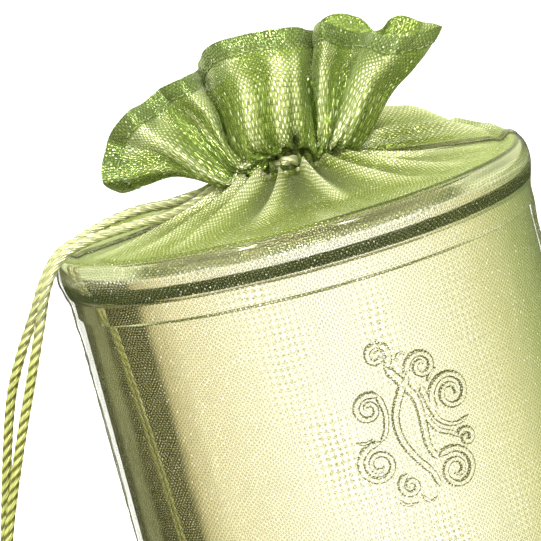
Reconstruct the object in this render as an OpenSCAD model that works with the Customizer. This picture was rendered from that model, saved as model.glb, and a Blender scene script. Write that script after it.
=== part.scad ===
// Sheer drawstring gift sack, tied over a round slip-lid tin.
// Millimetres, +Z up. The origin is the middle of the flat base.

/* [Tin] */
// Outer radius of the tin's side wall
tin_r = 29.7; // [27:0.1:33]
// Height of the closed tin, lid included
tin_h = 61.5; // [56:0.5:70]
// Thickness of the tin's sheet metal
sheet_t = 0.3; // [0.2:0.05:0.5]

/* [Lid] */
// Height of the rounded bead round the lid's edge
bead_h = 5.4; // [4:0.1:7]
// How far the bead stands out from the lid's skirt
bead_out = 0.9; // [0.5:0.1:1.5]
// Height of the plain skirt under the bead
skirt_h = 2.6; // [2:0.1:5]
// Gap all round between the skirt and the wall it slips over
lid_gap = 0.15; // [0.1:0.05:0.3]

/* [Ornament] */
// How far the middle of the ornament lies below the top of the lid
ornament_drop = 24; // [18:1:34]
// Turn of the ornament round the tin, from straight ahead towards the right
ornament_turn = 13; // [0:1:40]
// Width of one raised ribbon
ribbon_w = 0.8; // [0.6:0.1:1.2]

/* [Cloth] */
// Thickness that stands for the gathered cloth
cloth_t = 0.35; // [0.3:0.05:0.6]
// Clear space between the cloth and the lid
cloth_gap = 0.25; // [0.2:0.05:0.4]
// Height that the cloth climbs from the rim to the neck
shoulder_rise = 2.2; // [1.5:0.1:4]
// Turn of the two side seams, from exactly left and right
seam_turn = 4; // [0:1:15]

/* [Neck and frill] */
// Radius of the gathered neck
neck_r = 6; // [5.5:0.1:7]
// Height of the drawcord channel
channel_h = 2.4; // [2.2:0.1:3]
// Number of waves round the frill
frill_waves = 9; // [6:1:12]
// Mean radius of the frill's hem
frill_r = 20; // [17:0.5:22]
// Mean height of the frill's hem above the neck
frill_h = 8; // [7:0.5:12]

/* [Drawcord] */
// Diameter of the twisted cord
cord_d = 1.3; // [1:0.1:1.5]

/* [Hidden] */

$fn = 96;
cord_r = cord_d / 2;
olive = [0.46, 0.45, 0.16];
leaf = [0.58, 0.70, 0.22, 0.6];
pale = [0.86, 0.88, 0.62];

// The tin stands on the base cloth, and the lid covers its top.
base_t = 0.5;
tin_top = base_t + tin_h;
skirt_in = tin_r + lid_gap;
skirt_out = skirt_in + sheet_t;
bead_mid = tin_top - bead_h / 2;
skirt_low = tin_top - bead_h - skirt_h;
panel_drop = 0.5;
wall_top = tin_top - panel_drop - sheet_t - 0.4;

// The cloth follows the wall and the bead at one distance, up to the turn rim_edge on the
// bead, and each side seam takes the turn seam_half to both sides.
wrap_in = skirt_out + cloth_gap;
wrap_out = wrap_in + cloth_t;
rim_edge = 70;
seam_half = 1.5;
rim_cloth_z = tin_top + cloth_gap + cloth_t;
channel_z = rim_cloth_z + shoulder_rise;
cord_z = channel_z + channel_h / 2;
neck_top = channel_z + channel_h;

// The frill turns on a round knob of gathered cloth at the top of the neck, and the hidden
// loop of the drawcord lies in the channel at the radius loop_r.
knob_r = 3.6;
knob_z = neck_top + 1.7;
frill_in = knob_r + 0.8;
frill_z = knob_z + 0.4;
frill_t = 0.5;
loop_r = 4.2;

// Strands of the drawcord, from inside the neck to the knot on the surface that the sack
// stands on. Each route runs straight out of the neck, over the rim and down.
strand_gap = 1.05;
front_route = [
    [0.5, -1.05, 66], [-3.5, -1.05, 66], [-6.6, -1.05, 66], [-9, -2, 65.7], [-11.6, -3.8, 65],
    [-15, -5.6, 64.5], [-19, -6.8, 64.6], [-23.5, -7.6, 64.5], [-27, -8.2, 64.1], [-30, -8.8, 63.1],
    [-32.5, -9, 60.2], [-34.7, -9, 55.5], [-37.4, -9, 49.5], [-40.4, -9, 43], [-43, -9, 37],
    [-45.4, -9, 31], [-47.8, -9, 24], [-49.8, -9.2, 17], [-51.2, -9.8, 10], [-51.8, -11.2, 4.4],
    [-51.9, -13.8, 1.4], [-51.9, -17, 0.7], [-51.4, -20.4, 0.7], [-49.8, -23.8, 0.7],
    [-47, -26.2, 0.7], [-43.6, -27.2, 0.7], [-40.4, -27.2, 0.7]
];
back_route = [
    [0.5, 1.05, 66], [-3.5, 1.05, 66], [-6.6, 1.05, 66], [-9.2, 0.1, 65.8], [-11.8, -1.6, 65.5],
    [-15, -3.4, 65.6], [-19, -4.7, 66], [-23, -5.3, 65.6], [-27, -5.6, 64.5], [-30.4, -5.8, 63.2],
    [-33, -6, 60.3], [-35.4, -6, 56.4], [-38, -6, 52.4], [-40.6, -6, 47.6], [-42.8, -6, 41.6],
    [-44.8, -6.2, 35], [-46.8, -6.6, 28], [-49, -7, 20], [-51.4, -7.6, 12], [-53.4, -8.8, 5.4],
    [-54.6, -11.2, 1.8], [-55, -14.4, 0.7], [-54.9, -18.4, 0.7], [-54, -22.4, 0.7],
    [-52, -25.8, 0.7], [-49, -28.2, 0.7], [-45, -29.3, 0.7], [-40.6, -29, 0.7]
];
knot_at = [-39, -28.1, 2];

// Middle points and radii of the ornament's volutes: across, up, radius.
volutes = [
    [-3.6, 7.2, 1.9], [3.4, 3.6, 2.9], [-4.2, 1.6, 2.1], [-5.2, -4.2, 2.7], [4.6, -3, 1.7],
    [2.2, -7.4, 2.3], [-1.6, -7.2, 1.6], [0.2, 3.2, 1.5]
];
// Ends of the straight ribbons between the volutes: across, up, across, up.
ribbons = [[-2.6, 5.6, 0.6, -1.6], [0.6, -1.6, 1.2, -5.2], [-3.4, -0.4, -0.4, -2.6], [2, 0.9, 3.6, -1.4]];

// Turns a point of a flat profile round the bead by the angle a.
function round_bead(a, away) =
    [skirt_out + (bead_out + away) * cos(a), bead_mid + (bead_h / 2 + away) * sin(a)];

// Height of the shoulder's upper face at the distance r from the middle.
function shoulder_z(r) = rim_cloth_z + shoulder_rise * pow((skirt_out - r) / (skirt_out - neck_r), 4);

// One point of a smooth curve through four neighbouring route points.
function between(p0, p1, p2, p3, t) =
    0.5 * (2 * p1 + (p2 - p0) * t + (2 * p0 - 5 * p1 + 4 * p2 - p3) * t * t
    + (3 * p1 - p0 - 3 * p2 + p3) * t * t * t);
function clamped(points, i) = points[max(0, min(len(points) - 1, i))];
function smooth_route(points, parts) = [
    for (i = [0:len(points) - 2], k = [0:parts - 1])
        between(clamped(points, i - 1), points[i], points[i + 1], clamped(points, i + 2), k / parts),
    points[len(points) - 1]
];
function every_other(points) = [
    for (i = [0:2:len(points) - 2]) points[i],
    points[len(points) - 1]
];
function unit(v) = v / norm(v);
function heading(points, i) = unit(clamped(points, i + 1) - clamped(points, i - 1));

// Closed tube with flat sides along a list of points.
module tube(points, r, sides = 8) {
    side = [1, -1, 1];
    last = len(points) - 1;
    rings = [
        for (i = [0:last])
            let (h = heading(points, i), u = unit(cross(h, side)), v = cross(h, u))
                for (k = [0:sides - 1]) points[i] + r * (cos(360 * k / sides) * u + sin(360 * k / sides) * v)
    ];
    skin = [
        for (i = [0:last - 1], k = [0:sides - 1])
            let (a = i * sides + k, b = i * sides + (k + 1) % sides) [a, b, b + sides, a + sides]
    ];
    start_cap = [for (k = [sides - 1:-1:0]) k];
    end_cap = [for (k = [0:sides - 1]) last * sides + k];
    polyhedron(rings, concat(skin, [start_cap, end_cap]), convexity = 4);
}

// Point of the frill at the turn a, a share s of the way from the neck to the hem.
function hem_height(a) = frill_h + 1.8 * cos(a) + 1.2 * sin(a) + 1.9 * cos(frill_waves * a);
function frill_reach(a) = frill_r + 1.6 * sin(frill_waves * a);
function frill_point(a, s, out, down) =
    let (r = frill_in + (frill_reach(a) - frill_in) * s + out)
        [r * cos(a), r * sin(a), frill_z + hem_height(a) * pow(s, 1.3) - down];

// Closed ruffled band of the frill, between two faces that are both shares s of the way out.
module ruffle(a0, a1, s0, s1, lift, t) {
    across = 6;
    along = 60;
    row = along + 1;
    layer = row * (across + 1);
    points = [
        for (side = [0, 1], j = [0:across], i = [0:along])
            let (s = s0 + (s1 - s0) * j / across, a = a0 + (a1 - a0) * i / along)
                frill_point(a, s, (side * t - lift) * 0.7, side * t - lift)
    ];
    faces = [
        for (j = [0:across - 1], i = [0:along - 1])
            let (p = j * row + i) each [
                [p, p + 1, p + row + 1, p + row],
                [layer + p, layer + p + row, layer + p + row + 1, layer + p + 1]
            ],
        for (i = [0:along - 1]) let (p = across * row + i) each [
            [i, layer + i, layer + i + 1, i + 1],
            [p, p + 1, layer + p + 1, layer + p]
        ],
        for (j = [0:across - 1]) let (p = j * row, q = p + along) each [
            [p, p + row, layer + p + row, layer + p],
            [q, layer + q, layer + q + row, q + row]
        ]
    ];
    polyhedron(points, faces, convexity = 8);
}

// Ring of square section with its inner face at r.
module band(r, z, w, h) {
    translate([0, 0, z])
        difference() {
            cylinder(r = r + w, h = h);
            translate([0, 0, -1])
                cylinder(r = r, h = h + 2);
        }
}

// ---- Tin ----

module can_wall() {
    color(pale)
        band(tin_r - sheet_t, base_t, sheet_t, wall_top - base_t);
}

module can_base() {
    recess = 1.5;
    lip_w = 0.6;
    lip_h = 3;
    inner = tin_r - sheet_t;
    color(pale) {
        band(inner - lip_w, base_t, lip_w, lip_h);
        translate([0, 0, base_t + recess])
            cylinder(r = inner - lip_w, h = sheet_t);
    }
}

// One flat piece of the ornament, laid against the wall at its own turn and height.
module on_wall(across, up) {
    depth = 0.45;
    sink = 0.15;
    turn = ornament_turn + across / tin_r * 180 / PI;
    rotate([0, 0, turn])
        translate([0, sink - tin_r, tin_top - ornament_drop + up])
            rotate([90, 0, 0])
                linear_extrude(depth)
                    children();
}

module scroll_ornament() {
    color(pale) {
        for (v = volutes)
            on_wall(v[0], v[1])
                difference() {
                    circle(v[2]);
                    circle(v[2] - ribbon_w);
                }
        for (v = volutes)
            on_wall(v[0], v[1])
                circle(0.55);
        for (r = ribbons)
            on_wall((r[0] + r[2]) / 2, (r[1] + r[3]) / 2)
                rotate(atan2(r[3] - r[1], r[2] - r[0]))
                    square([norm([r[2] - r[0], r[3] - r[1]]), ribbon_w], center = true);
    }
}

module slip_lid() {
    panel_r = skirt_in - 1.2;
    panel_top = tin_top - panel_drop;
    color(pale)
        rotate_extrude()
            polygon(concat(
                [[0, panel_top - sheet_t], [skirt_in, panel_top - sheet_t], [skirt_in, skirt_low]],
                [[skirt_out, skirt_low]],
                [for (a = [-90:15:90]) round_bead(a, 0)],
                [[panel_r, tin_top], [panel_r - 0.4, panel_top], [0, panel_top]]
            ));
}

// ---- Sack cloth ----

module base_cloth() {
    color(leaf)
        cylinder(r = wrap_out, h = base_t);
}

// Side wall and rim of the sack, between two turns.
module wrap(from, to) {
    rotate([0, 0, from])
        rotate_extrude(angle = to - from)
            polygon(concat(
                [[wrap_in, base_t], [wrap_out, base_t]],
                [for (a = [-70:14:rim_edge]) round_bead(a, cloth_gap + cloth_t)],
                [for (a = [rim_edge:-14:-70]) round_bead(a, cloth_gap)]
            ));
}

module front_panel() {
    color(leaf)
        wrap(180 + seam_turn + seam_half, 360 + seam_turn - seam_half);
}

module back_panel() {
    color(leaf)
        wrap(seam_turn + seam_half, 180 + seam_turn - seam_half);
}

module left_side_seam() {
    color(olive)
        wrap(180 + seam_turn - seam_half, 180 + seam_turn + seam_half);
}

module right_side_seam() {
    color(olive)
        wrap(seam_turn - seam_half, seam_turn + seam_half);
}

// Corner of the flat bag, folded up against the wall.
module corner_fold(middle) {
    spread = 13;
    fold_t = 0.45;
    fold_h = 17;
    color(leaf)
        rotate([0, 0, middle - spread])
            rotate_extrude(angle = 2 * spread)
                polygon([[wrap_out, base_t], [wrap_out + fold_t, base_t], [wrap_out, fold_h]]);
}

module left_corner_fold() {
    corner_fold(180 + seam_turn);
}

module right_corner_fold() {
    corner_fold(seam_turn);
}

// Half of the gathered top, from the rim to the neck.
module shoulder(from) {
    steps = 12;
    edge_in = round_bead(rim_edge, cloth_gap);
    edge_out = round_bead(rim_edge, cloth_gap + cloth_t);
    radii = [for (k = [0:steps]) skirt_out - 0.2 - (skirt_out - 0.2 - neck_r) * k / steps];
    rotate([0, 0, from])
        rotate_extrude(angle = 180)
            polygon(concat(
                [edge_in, edge_out],
                [for (r = radii) [r, shoulder_z(r)]],
                [for (k = [steps:-1:0]) [radii[k], shoulder_z(radii[k]) - cloth_t]]
            ));
}

module front_shoulder() {
    color(leaf)
        shoulder(180 + seam_turn);
}

module back_shoulder() {
    color(leaf)
        shoulder(seam_turn);
}

// ---- Neck ----

// Round slots for the two strands, straight out to the left.
module strand_slots() {
    slot_r = cord_r + 0.3;
    slot_end = 2;
    for (y = [-strand_gap, strand_gap])
        translate([slot_end, y, cord_z])
            rotate([0, -90, 0])
                cylinder(r = slot_r, h = neck_r + slot_end + 1);
    translate([-neck_r - 1, -strand_gap, cord_z - slot_r])
        cube([neck_r + slot_end + 1, 2 * strand_gap, 2 * slot_r]);
}

module drawcord_channel() {
    color(leaf)
        difference() {
            translate([0, 0, channel_z])
                cylinder(r = neck_r, h = channel_h);
            translate([0, 0, cord_z])
                rotate_extrude()
                    translate([loop_r, 0])
                        circle(cord_r + 0.05);
            strand_slots();
        }
}

module lower_channel_stitch() {
    color(olive)
        band(neck_r, channel_z, 0.3, 0.25);
}

module upper_channel_stitch() {
    color(olive)
        band(neck_r, neck_top - 0.25, 0.3, 0.25);
}

module neck_gathers() {
    color(leaf)
        difference() {
            translate([0, 0, knob_z])
                sphere(r = knob_r * 0.9);
            translate([0, 0, channel_z])
                cylinder(r = neck_r, h = channel_h);
        }
}

// ---- Frill ----

module front_frill() {
    color(leaf)
        ruffle(180 + seam_turn, 360 + seam_turn, 0, 1, 0, frill_t);
}

module back_frill() {
    color(leaf)
        ruffle(seam_turn, 180 + seam_turn, 0, 1, 0, frill_t);
}

module frill_hem() {
    color(olive) {
        ruffle(180 + seam_turn, 360 + seam_turn, 0.86, 1, 0.3, 0.3);
        ruffle(seam_turn, 180 + seam_turn, 0.86, 1, 0.3, 0.3);
    }
}

// ---- Drawcord ----

module drawcord_loop() {
    opening = 42;
    color(olive)
        translate([0, 0, cord_z])
            rotate([0, 0, 180 + opening])
                rotate_extrude(angle = 360 - 2 * opening)
                    translate([loop_r, 0])
                        circle(cord_r, $fn = 24);
}

module front_tail() {
    color(olive)
        tube(every_other(smooth_route(front_route, 3)), cord_r);
}

module back_tail() {
    color(olive)
        tube(every_other(smooth_route(back_route, 3)), cord_r);
}

module stop_knot() {
    color(olive)
        translate(knot_at)
            sphere(r = knot_at[2]);
}

module cord_ends() {
    length = 7;
    splay = 12;
    color(olive)
        for (side = [-1, 1])
            translate([knot_at[0] + 1, knot_at[1] + side, cord_r])
                rotate([0, 90, side * splay])
                    cylinder(r = cord_r, h = length);
}

can_wall();
can_base();
scroll_ornament();
slip_lid();
base_cloth();
left_corner_fold();
right_corner_fold();
front_panel();
back_panel();
left_side_seam();
right_side_seam();
front_shoulder();
back_shoulder();
drawcord_channel();
lower_channel_stitch();
upper_channel_stitch();
neck_gathers();
front_frill();
back_frill();
frill_hem();
drawcord_loop();
front_tail();
back_tail();
stop_knot();
cord_ends();
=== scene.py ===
"""Looks of a sheer drawstring gift sack, tied over a round slip-lid tin.

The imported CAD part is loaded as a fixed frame. Every piece below is built round it, in metres, in the
same frame: +Z up, the origin in the middle of the base, the ornament towards -Y.
"""

import logging
import math
from collections.abc import Callable, Sequence
from dataclasses import dataclass
from enum import Enum

import bpy
import numpy as np
from mathutils import Matrix, Vector


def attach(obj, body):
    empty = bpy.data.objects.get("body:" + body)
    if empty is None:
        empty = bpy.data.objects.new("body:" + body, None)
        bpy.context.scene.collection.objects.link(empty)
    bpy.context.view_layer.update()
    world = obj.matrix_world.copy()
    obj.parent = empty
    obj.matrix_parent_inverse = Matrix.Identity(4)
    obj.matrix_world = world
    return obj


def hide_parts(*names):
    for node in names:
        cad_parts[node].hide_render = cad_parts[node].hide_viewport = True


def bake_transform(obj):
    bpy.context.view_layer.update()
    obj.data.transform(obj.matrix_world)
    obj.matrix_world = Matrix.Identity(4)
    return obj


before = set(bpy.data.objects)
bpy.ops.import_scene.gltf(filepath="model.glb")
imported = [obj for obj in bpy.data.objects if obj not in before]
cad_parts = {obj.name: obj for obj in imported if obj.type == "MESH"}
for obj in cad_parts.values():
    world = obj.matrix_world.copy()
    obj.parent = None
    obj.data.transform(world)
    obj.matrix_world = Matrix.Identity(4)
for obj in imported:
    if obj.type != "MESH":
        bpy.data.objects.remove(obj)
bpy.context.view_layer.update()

LOG = logging.getLogger("gift_sack")
MM = 0.001
UV_SPAN = 0.2  # metres of cloth that one UV unit covers
NECK_SHIFT = (1.0, 1.2)  # how far the soft neck leans to the right and stands up, in millimetres
CHANNEL_PLEATS = (28, 19)  # waves of the two pleat patterns round the gathered channel
TENT_RADIUS = 0.35  # metres, of the stage pieces that only mirrors see
HIDDEN_FROM = ("visible_camera", "visible_diffuse", "visible_shadow", "visible_transmission")

Point = tuple[float, float, float]


class Body(str, Enum):
    """The rigid bodies of the frame."""

    SACK = "sack"
    LID = "lid"
    FRILL = "frill"
    DRAWCORD = "drawcord"


class Slot(str, Enum):
    """The record's material slots."""

    TIN = "tinplate"
    ORGANZA = "organza"
    DOUBLED = "doubled_organza"
    THREAD = "thread"
    CORD = "metallic_cord"


# ---------------------------------------------------------------- small tools


def deselect_all() -> None:
    """Leaves nothing selected, so that an operator acts on new geometry only."""
    if bpy.context.object is not None and bpy.context.object.mode != "OBJECT":
        bpy.ops.object.mode_set(mode="OBJECT")
    bpy.ops.object.select_all(action="DESELECT")


def make_active(obj: bpy.types.Object) -> None:
    """Selects one object alone and makes it the active one."""
    deselect_all()
    obj.select_set(True)
    bpy.context.view_layer.objects.active = obj


def name_piece(obj: bpy.types.Object, name: str) -> bpy.types.Object:
    """Names an object and its mesh alike, and returns the object."""
    obj.name = name
    obj.data.name = name
    return obj


def tidy_mesh(obj: bpy.types.Object, merge: float = 1e-6, outward: bool = True) -> None:
    """Merges doubled points and turns all faces the same way.

    Args:
        obj: the piece to clean.
        merge: points closer than this become one, in metres.
        outward: whether the normals are recalculated to point out.
    """
    make_active(obj)
    bpy.ops.object.mode_set(mode="EDIT")
    bpy.ops.mesh.select_all(action="SELECT")
    bpy.ops.mesh.remove_doubles(threshold=merge)
    if outward:
        bpy.ops.mesh.normals_make_consistent(inside=False)
    bpy.ops.object.mode_set(mode="OBJECT")


def smooth(obj: bpy.types.Object, angle: float = 180.0) -> None:
    """Shades a piece smooth where its faces meet at less than the angle, in degrees."""
    make_active(obj)
    if angle >= 180.0:
        bpy.ops.object.shade_smooth()
    else:
        bpy.ops.object.shade_smooth_by_angle(angle=math.radians(angle))


def join(pieces: Sequence[bpy.types.Object], name: str) -> bpy.types.Object:
    """Joins several pieces into one.

    Args:
        pieces: the pieces, of which the first keeps its place.
        name: the name of the whole.

    Returns:
        The joined piece.
    """
    deselect_all()
    for piece in pieces:
        piece.select_set(True)
    bpy.context.view_layer.objects.active = pieces[0]
    if len(pieces) > 1:
        bpy.ops.object.join()
    return name_piece(bpy.context.object, name)


def mesh_from(name: str, points: np.ndarray, faces: list[tuple[int, ...]]) -> bpy.types.Object:
    """Makes a mesh object from points and faces.

    Args:
        name: the piece's name.
        points: one row per point, in metres.
        faces: the point numbers of each face.

    Returns:
        The new object, linked to the scene.
    """
    mesh = bpy.data.meshes.new(name)
    mesh.from_pydata([tuple(p) for p in points], [], faces)
    mesh.update()
    obj = bpy.data.objects.new(name, mesh)
    bpy.context.scene.collection.objects.link(obj)
    return obj


def spun(name: str, profile: Sequence[tuple[float, float]], steps: int = 192) -> bpy.types.Object:
    """Spins a closed profile once round the Z axis.

    Args:
        name: the piece's name.
        profile: (radius, height) of each corner, in metres.
        steps: segments round the axis.

    Returns:
        The closed, smooth-shaded solid of revolution.
    """
    count = len(profile)
    mesh = bpy.data.meshes.new(name)
    mesh.from_pydata([(r, 0.0, z) for r, z in profile], [(i, (i + 1) % count) for i in range(count)], [])
    obj = bpy.data.objects.new(name, mesh)
    bpy.context.scene.collection.objects.link(obj)
    make_active(obj)
    bpy.ops.object.mode_set(mode="EDIT")
    bpy.ops.mesh.select_all(action="SELECT")
    bpy.ops.mesh.spin(steps=steps, angle=math.tau, center=(0, 0, 0), axis=(0, 0, 1))
    bpy.ops.object.mode_set(mode="OBJECT")
    tidy_mesh(obj)
    smooth(obj, 32.0)
    return obj


def sheet_grid(
    name: str,
    columns: int,
    rows: int,
    flat: tuple[float, float],
    place: Callable[[np.ndarray, np.ndarray], np.ndarray],
) -> bpy.types.Object:
    """Adds a flat grid of cloth and lays it where the cloth goes.

    Args:
        name: the piece's name.
        columns: squares across the cloth.
        rows: squares along the cloth.
        flat: width and length of the flat cut, in metres, which the UV map keeps.
        place: gives the points for shares (0 to 1) across and along the cloth.

    Returns:
        The cloth's object, smooth-shaded.
    """
    deselect_all()
    bpy.ops.mesh.primitive_grid_add(x_subdivisions=columns, y_subdivisions=rows, size=2, calc_uvs=True)
    obj = name_piece(bpy.context.object, name)
    mesh = obj.data
    flat_points = np.zeros(len(mesh.vertices) * 3, np.float32)
    mesh.vertices.foreach_get("co", flat_points)
    across, along = ((flat_points.reshape(-1, 3)[:, k].astype(float) + 1) / 2 for k in (0, 1))
    points = place(across, along)
    mesh.vertices.foreach_set("co", points.astype(np.float32).ravel())
    corner = np.zeros(len(mesh.loops), np.int32)
    mesh.loops.foreach_get("vertex_index", corner)
    uv = np.stack([across * flat[0], along * flat[1]], axis=1)[corner] / UV_SPAN
    mesh.uv_layers[0].data.foreach_set("uv", uv.astype(np.float32).ravel())
    mesh.update()
    smooth(obj)
    return obj


def catmull(points: np.ndarray, parts: int, closed: bool = False) -> np.ndarray:
    """Runs a smooth curve through points.

    Args:
        points: one row per point.
        parts: steps between two neighbours.
        closed: whether the last point joins the first.

    Returns:
        The points of the curve, one per row.
    """
    count = len(points)
    at = (lambda i: points[i % count]) if closed else (lambda i: points[min(max(i, 0), count - 1)])
    out = []
    for i in range(count if closed else count - 1):
        before, start, end, after = at(i - 1), at(i), at(i + 1), at(i + 2)
        for k in range(parts):
            t = k / parts
            out.append(
                0.5
                * (
                    2 * start
                    + (end - before) * t
                    + (2 * before - 5 * start + 4 * end - after) * t * t
                    + (3 * start - before - 3 * end + after) * t**3
                )
            )
    if not closed:
        out.append(points[-1])
    return np.array(out)


def evenly(points: np.ndarray, step: float) -> np.ndarray:
    """Spaces the points of a line evenly, about one step apart."""
    gaps = np.linalg.norm(np.diff(points, axis=0), axis=1)
    travel = np.concatenate([[0.0], np.cumsum(gaps)])
    wanted = np.linspace(0.0, travel[-1], max(2, round(travel[-1] / step) + 1))
    return np.stack([np.interp(wanted, travel, points[:, k]) for k in range(3)], axis=1)


def length_of(points: np.ndarray) -> float:
    """Length of a line of points, in metres."""
    return float(np.linalg.norm(np.diff(points, axis=0), axis=1).sum())


def smoothstep(value: np.ndarray, low: float, high: float) -> np.ndarray:
    """Rises smoothly from 0 at low to 1 at high."""
    t = np.clip((value - low) / (high - low), 0.0, 1.0)
    return t * t * (3 - 2 * t)


def swept(
    name: str,
    line: np.ndarray,
    section: Callable[[np.ndarray, np.ndarray], np.ndarray],
    sides: int,
    closed: bool = False,
) -> bpy.types.Object:
    """Sweeps a round section along a line without twisting it.

    Args:
        name: the piece's name.
        line: centre points, evenly spaced.
        section: radius for the turn round the section and the distance along the line.
        sides: points round the section.
        closed: whether the line is a ring.

    Returns:
        The tube, with its UV map turned round it and along it, smooth-shaded.
    """
    count = len(line)
    ahead = np.roll(line, -1, axis=0) - np.roll(line, 1, axis=0)
    if not closed:
        ahead[0], ahead[-1] = line[1] - line[0], line[-1] - line[-2]
    ahead /= np.linalg.norm(ahead, axis=1)[:, None]
    side = np.zeros_like(line)
    guess = np.array([0.0, 0.0, 1.0]) if abs(ahead[0][2]) < 0.9 else np.array([1.0, 0.0, 0.0])
    for i in range(count):
        guess = guess - ahead[i] * (guess @ ahead[i])
        guess /= np.linalg.norm(guess)
        side[i] = guess
    other = np.cross(ahead, side)
    travel = np.concatenate([[0.0], np.cumsum(np.linalg.norm(np.diff(line, axis=0), axis=1))])
    turns = np.arange(sides) / sides * math.tau
    radius = section(turns[None, :], travel[:, None])
    points = line[:, None, :] + radius[..., None] * (
        np.cos(turns)[None, :, None] * side[:, None, :] + np.sin(turns)[None, :, None] * other[:, None, :]
    )
    faces = []
    rings = count if closed else count - 1
    for i in range(rings):
        nxt = (i + 1) % count
        for k in range(sides):
            kk = (k + 1) % sides
            faces.append((i * sides + k, i * sides + kk, nxt * sides + kk, nxt * sides + k))
    if not closed:
        faces.append(tuple(range(sides - 1, -1, -1)))
        faces.append(tuple((count - 1) * sides + k for k in range(sides)))
    obj = mesh_from(name, points.reshape(-1, 3), faces)
    layer = obj.data.uv_layers.new(name="UVMap")
    corner = np.zeros(len(obj.data.loops), np.int32)
    obj.data.loops.foreach_get("vertex_index", corner)
    around = (corner % sides) / sides
    uv = np.stack([around, travel[corner // sides] / UV_SPAN], axis=1)
    layer.data.foreach_set("uv", uv.astype(np.float32).ravel())
    tidy_mesh(obj, merge=1e-9)
    smooth(obj)
    return obj


def wrapped(angle: np.ndarray) -> np.ndarray:
    """Brings angles in degrees to between -180 and 180."""
    return (angle + 180) % 360 - 180


def channel_pleats(turn: np.ndarray, deep: float, shallow: float) -> np.ndarray:
    """Depth of the two pleat patterns round the channel, for turns in radians."""
    return deep * np.sin(turn * CHANNEL_PLEATS[0]) + shallow * np.sin(turn * CHANNEL_PLEATS[1] + 1)


def thicken(obj: bpy.types.Object, thickness: float, offset: float = 0.0) -> None:
    """Gives a surface a thickness in millimetres; the offset says to which side, from -1 to 1."""
    make_active(obj)
    thick = obj.modifiers.new("thick", "SOLIDIFY")
    thick.thickness, thick.offset = thickness * MM, offset
    bpy.ops.object.modifier_apply(modifier="thick")


def ring_cloth(
    name: str, points: np.ndarray, columns: int, rows: int, flat: tuple[float, float], shift: float = 0.0
) -> bpy.types.Object:
    """Makes a closed ring of cloth from rows of points.

    Args:
        name: the piece's name.
        points: columns times rows points, column by column.
        columns: points round the ring.
        rows: points from its lower to its upper edge.
        flat: length round the flat ring and its width, in metres.
        shift: distance of its lower edge from the cloth's own, in metres, for the UV map.

    Returns:
        The ring, smooth-shaded.
    """
    faces = []
    for i in range(columns):
        ii = (i + 1) % columns
        for k in range(rows - 1):
            faces.append((i * rows + k, ii * rows + k, ii * rows + k + 1, i * rows + k + 1))
    made = mesh_from(name, points, faces)
    layer = made.data.uv_layers.new(name="UVMap")
    corner = np.zeros(len(made.data.loops), np.int32)
    made.data.loops.foreach_get("vertex_index", corner)
    across = (corner // rows) / columns
    column_of = np.repeat(np.arange(len(faces)), 4) // (rows - 1)
    across = np.where((column_of == columns - 1) & (across < 0.5), across + 1.0, across)
    up = (corner % rows) / (rows - 1)
    uv = np.stack([across * flat[0] / UV_SPAN, (up * flat[1] + shift) / UV_SPAN], axis=1)
    layer.data.foreach_set("uv", uv.astype(np.float32).ravel())
    smooth(made)
    return made


def paint_glint(obj: bpy.types.Object, values: np.ndarray) -> None:
    """Stores each point's painted highlight, 0 to 1, where a cloth catches the light, or its painted shade, down to
    -1.
    """
    layer = obj.data.attributes.new("glint", "FLOAT", "POINT")
    layer.data.foreach_set("value", np.clip(values, -1.0, 1.0).astype(np.float32).ravel())


def ride(obj: bpy.types.Object, body: Body) -> bpy.types.Object:
    """Puts a piece on a body and logs its number of faces."""
    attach(obj, body.value)
    LOG.info("%s rides on %s, %d faces", obj.name, body.value, len(obj.data.polygons))
    return obj


def wobble(u: np.ndarray, v: np.ndarray, scale: float, seed: int, waves: int = 9) -> np.ndarray:
    """Smooth irregular noise between about -1 and 1, the same in every run.

    Args:
        u: first coordinate.
        v: second coordinate.
        scale: distance over which it changes, in the coordinates' unit.
        seed: chooses the pattern.
        waves: how many waves are added up.

    Returns:
        The noise for each pair of coordinates.
    """
    pick = np.random.default_rng(seed)
    total = np.zeros(np.broadcast(u, v).shape)
    for _ in range(waves):
        turn, phase, stretch = pick.uniform(0, math.tau), pick.uniform(0, math.tau), pick.uniform(0.55, 1.6)
        total = total + np.sin(
            (u * math.cos(turn) + v * math.sin(turn)) * stretch / scale * 2.2 + phase
        )
    return total / math.sqrt(waves / 2) / 1.6


# ---------------------------------------------------------------- finishes


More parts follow.
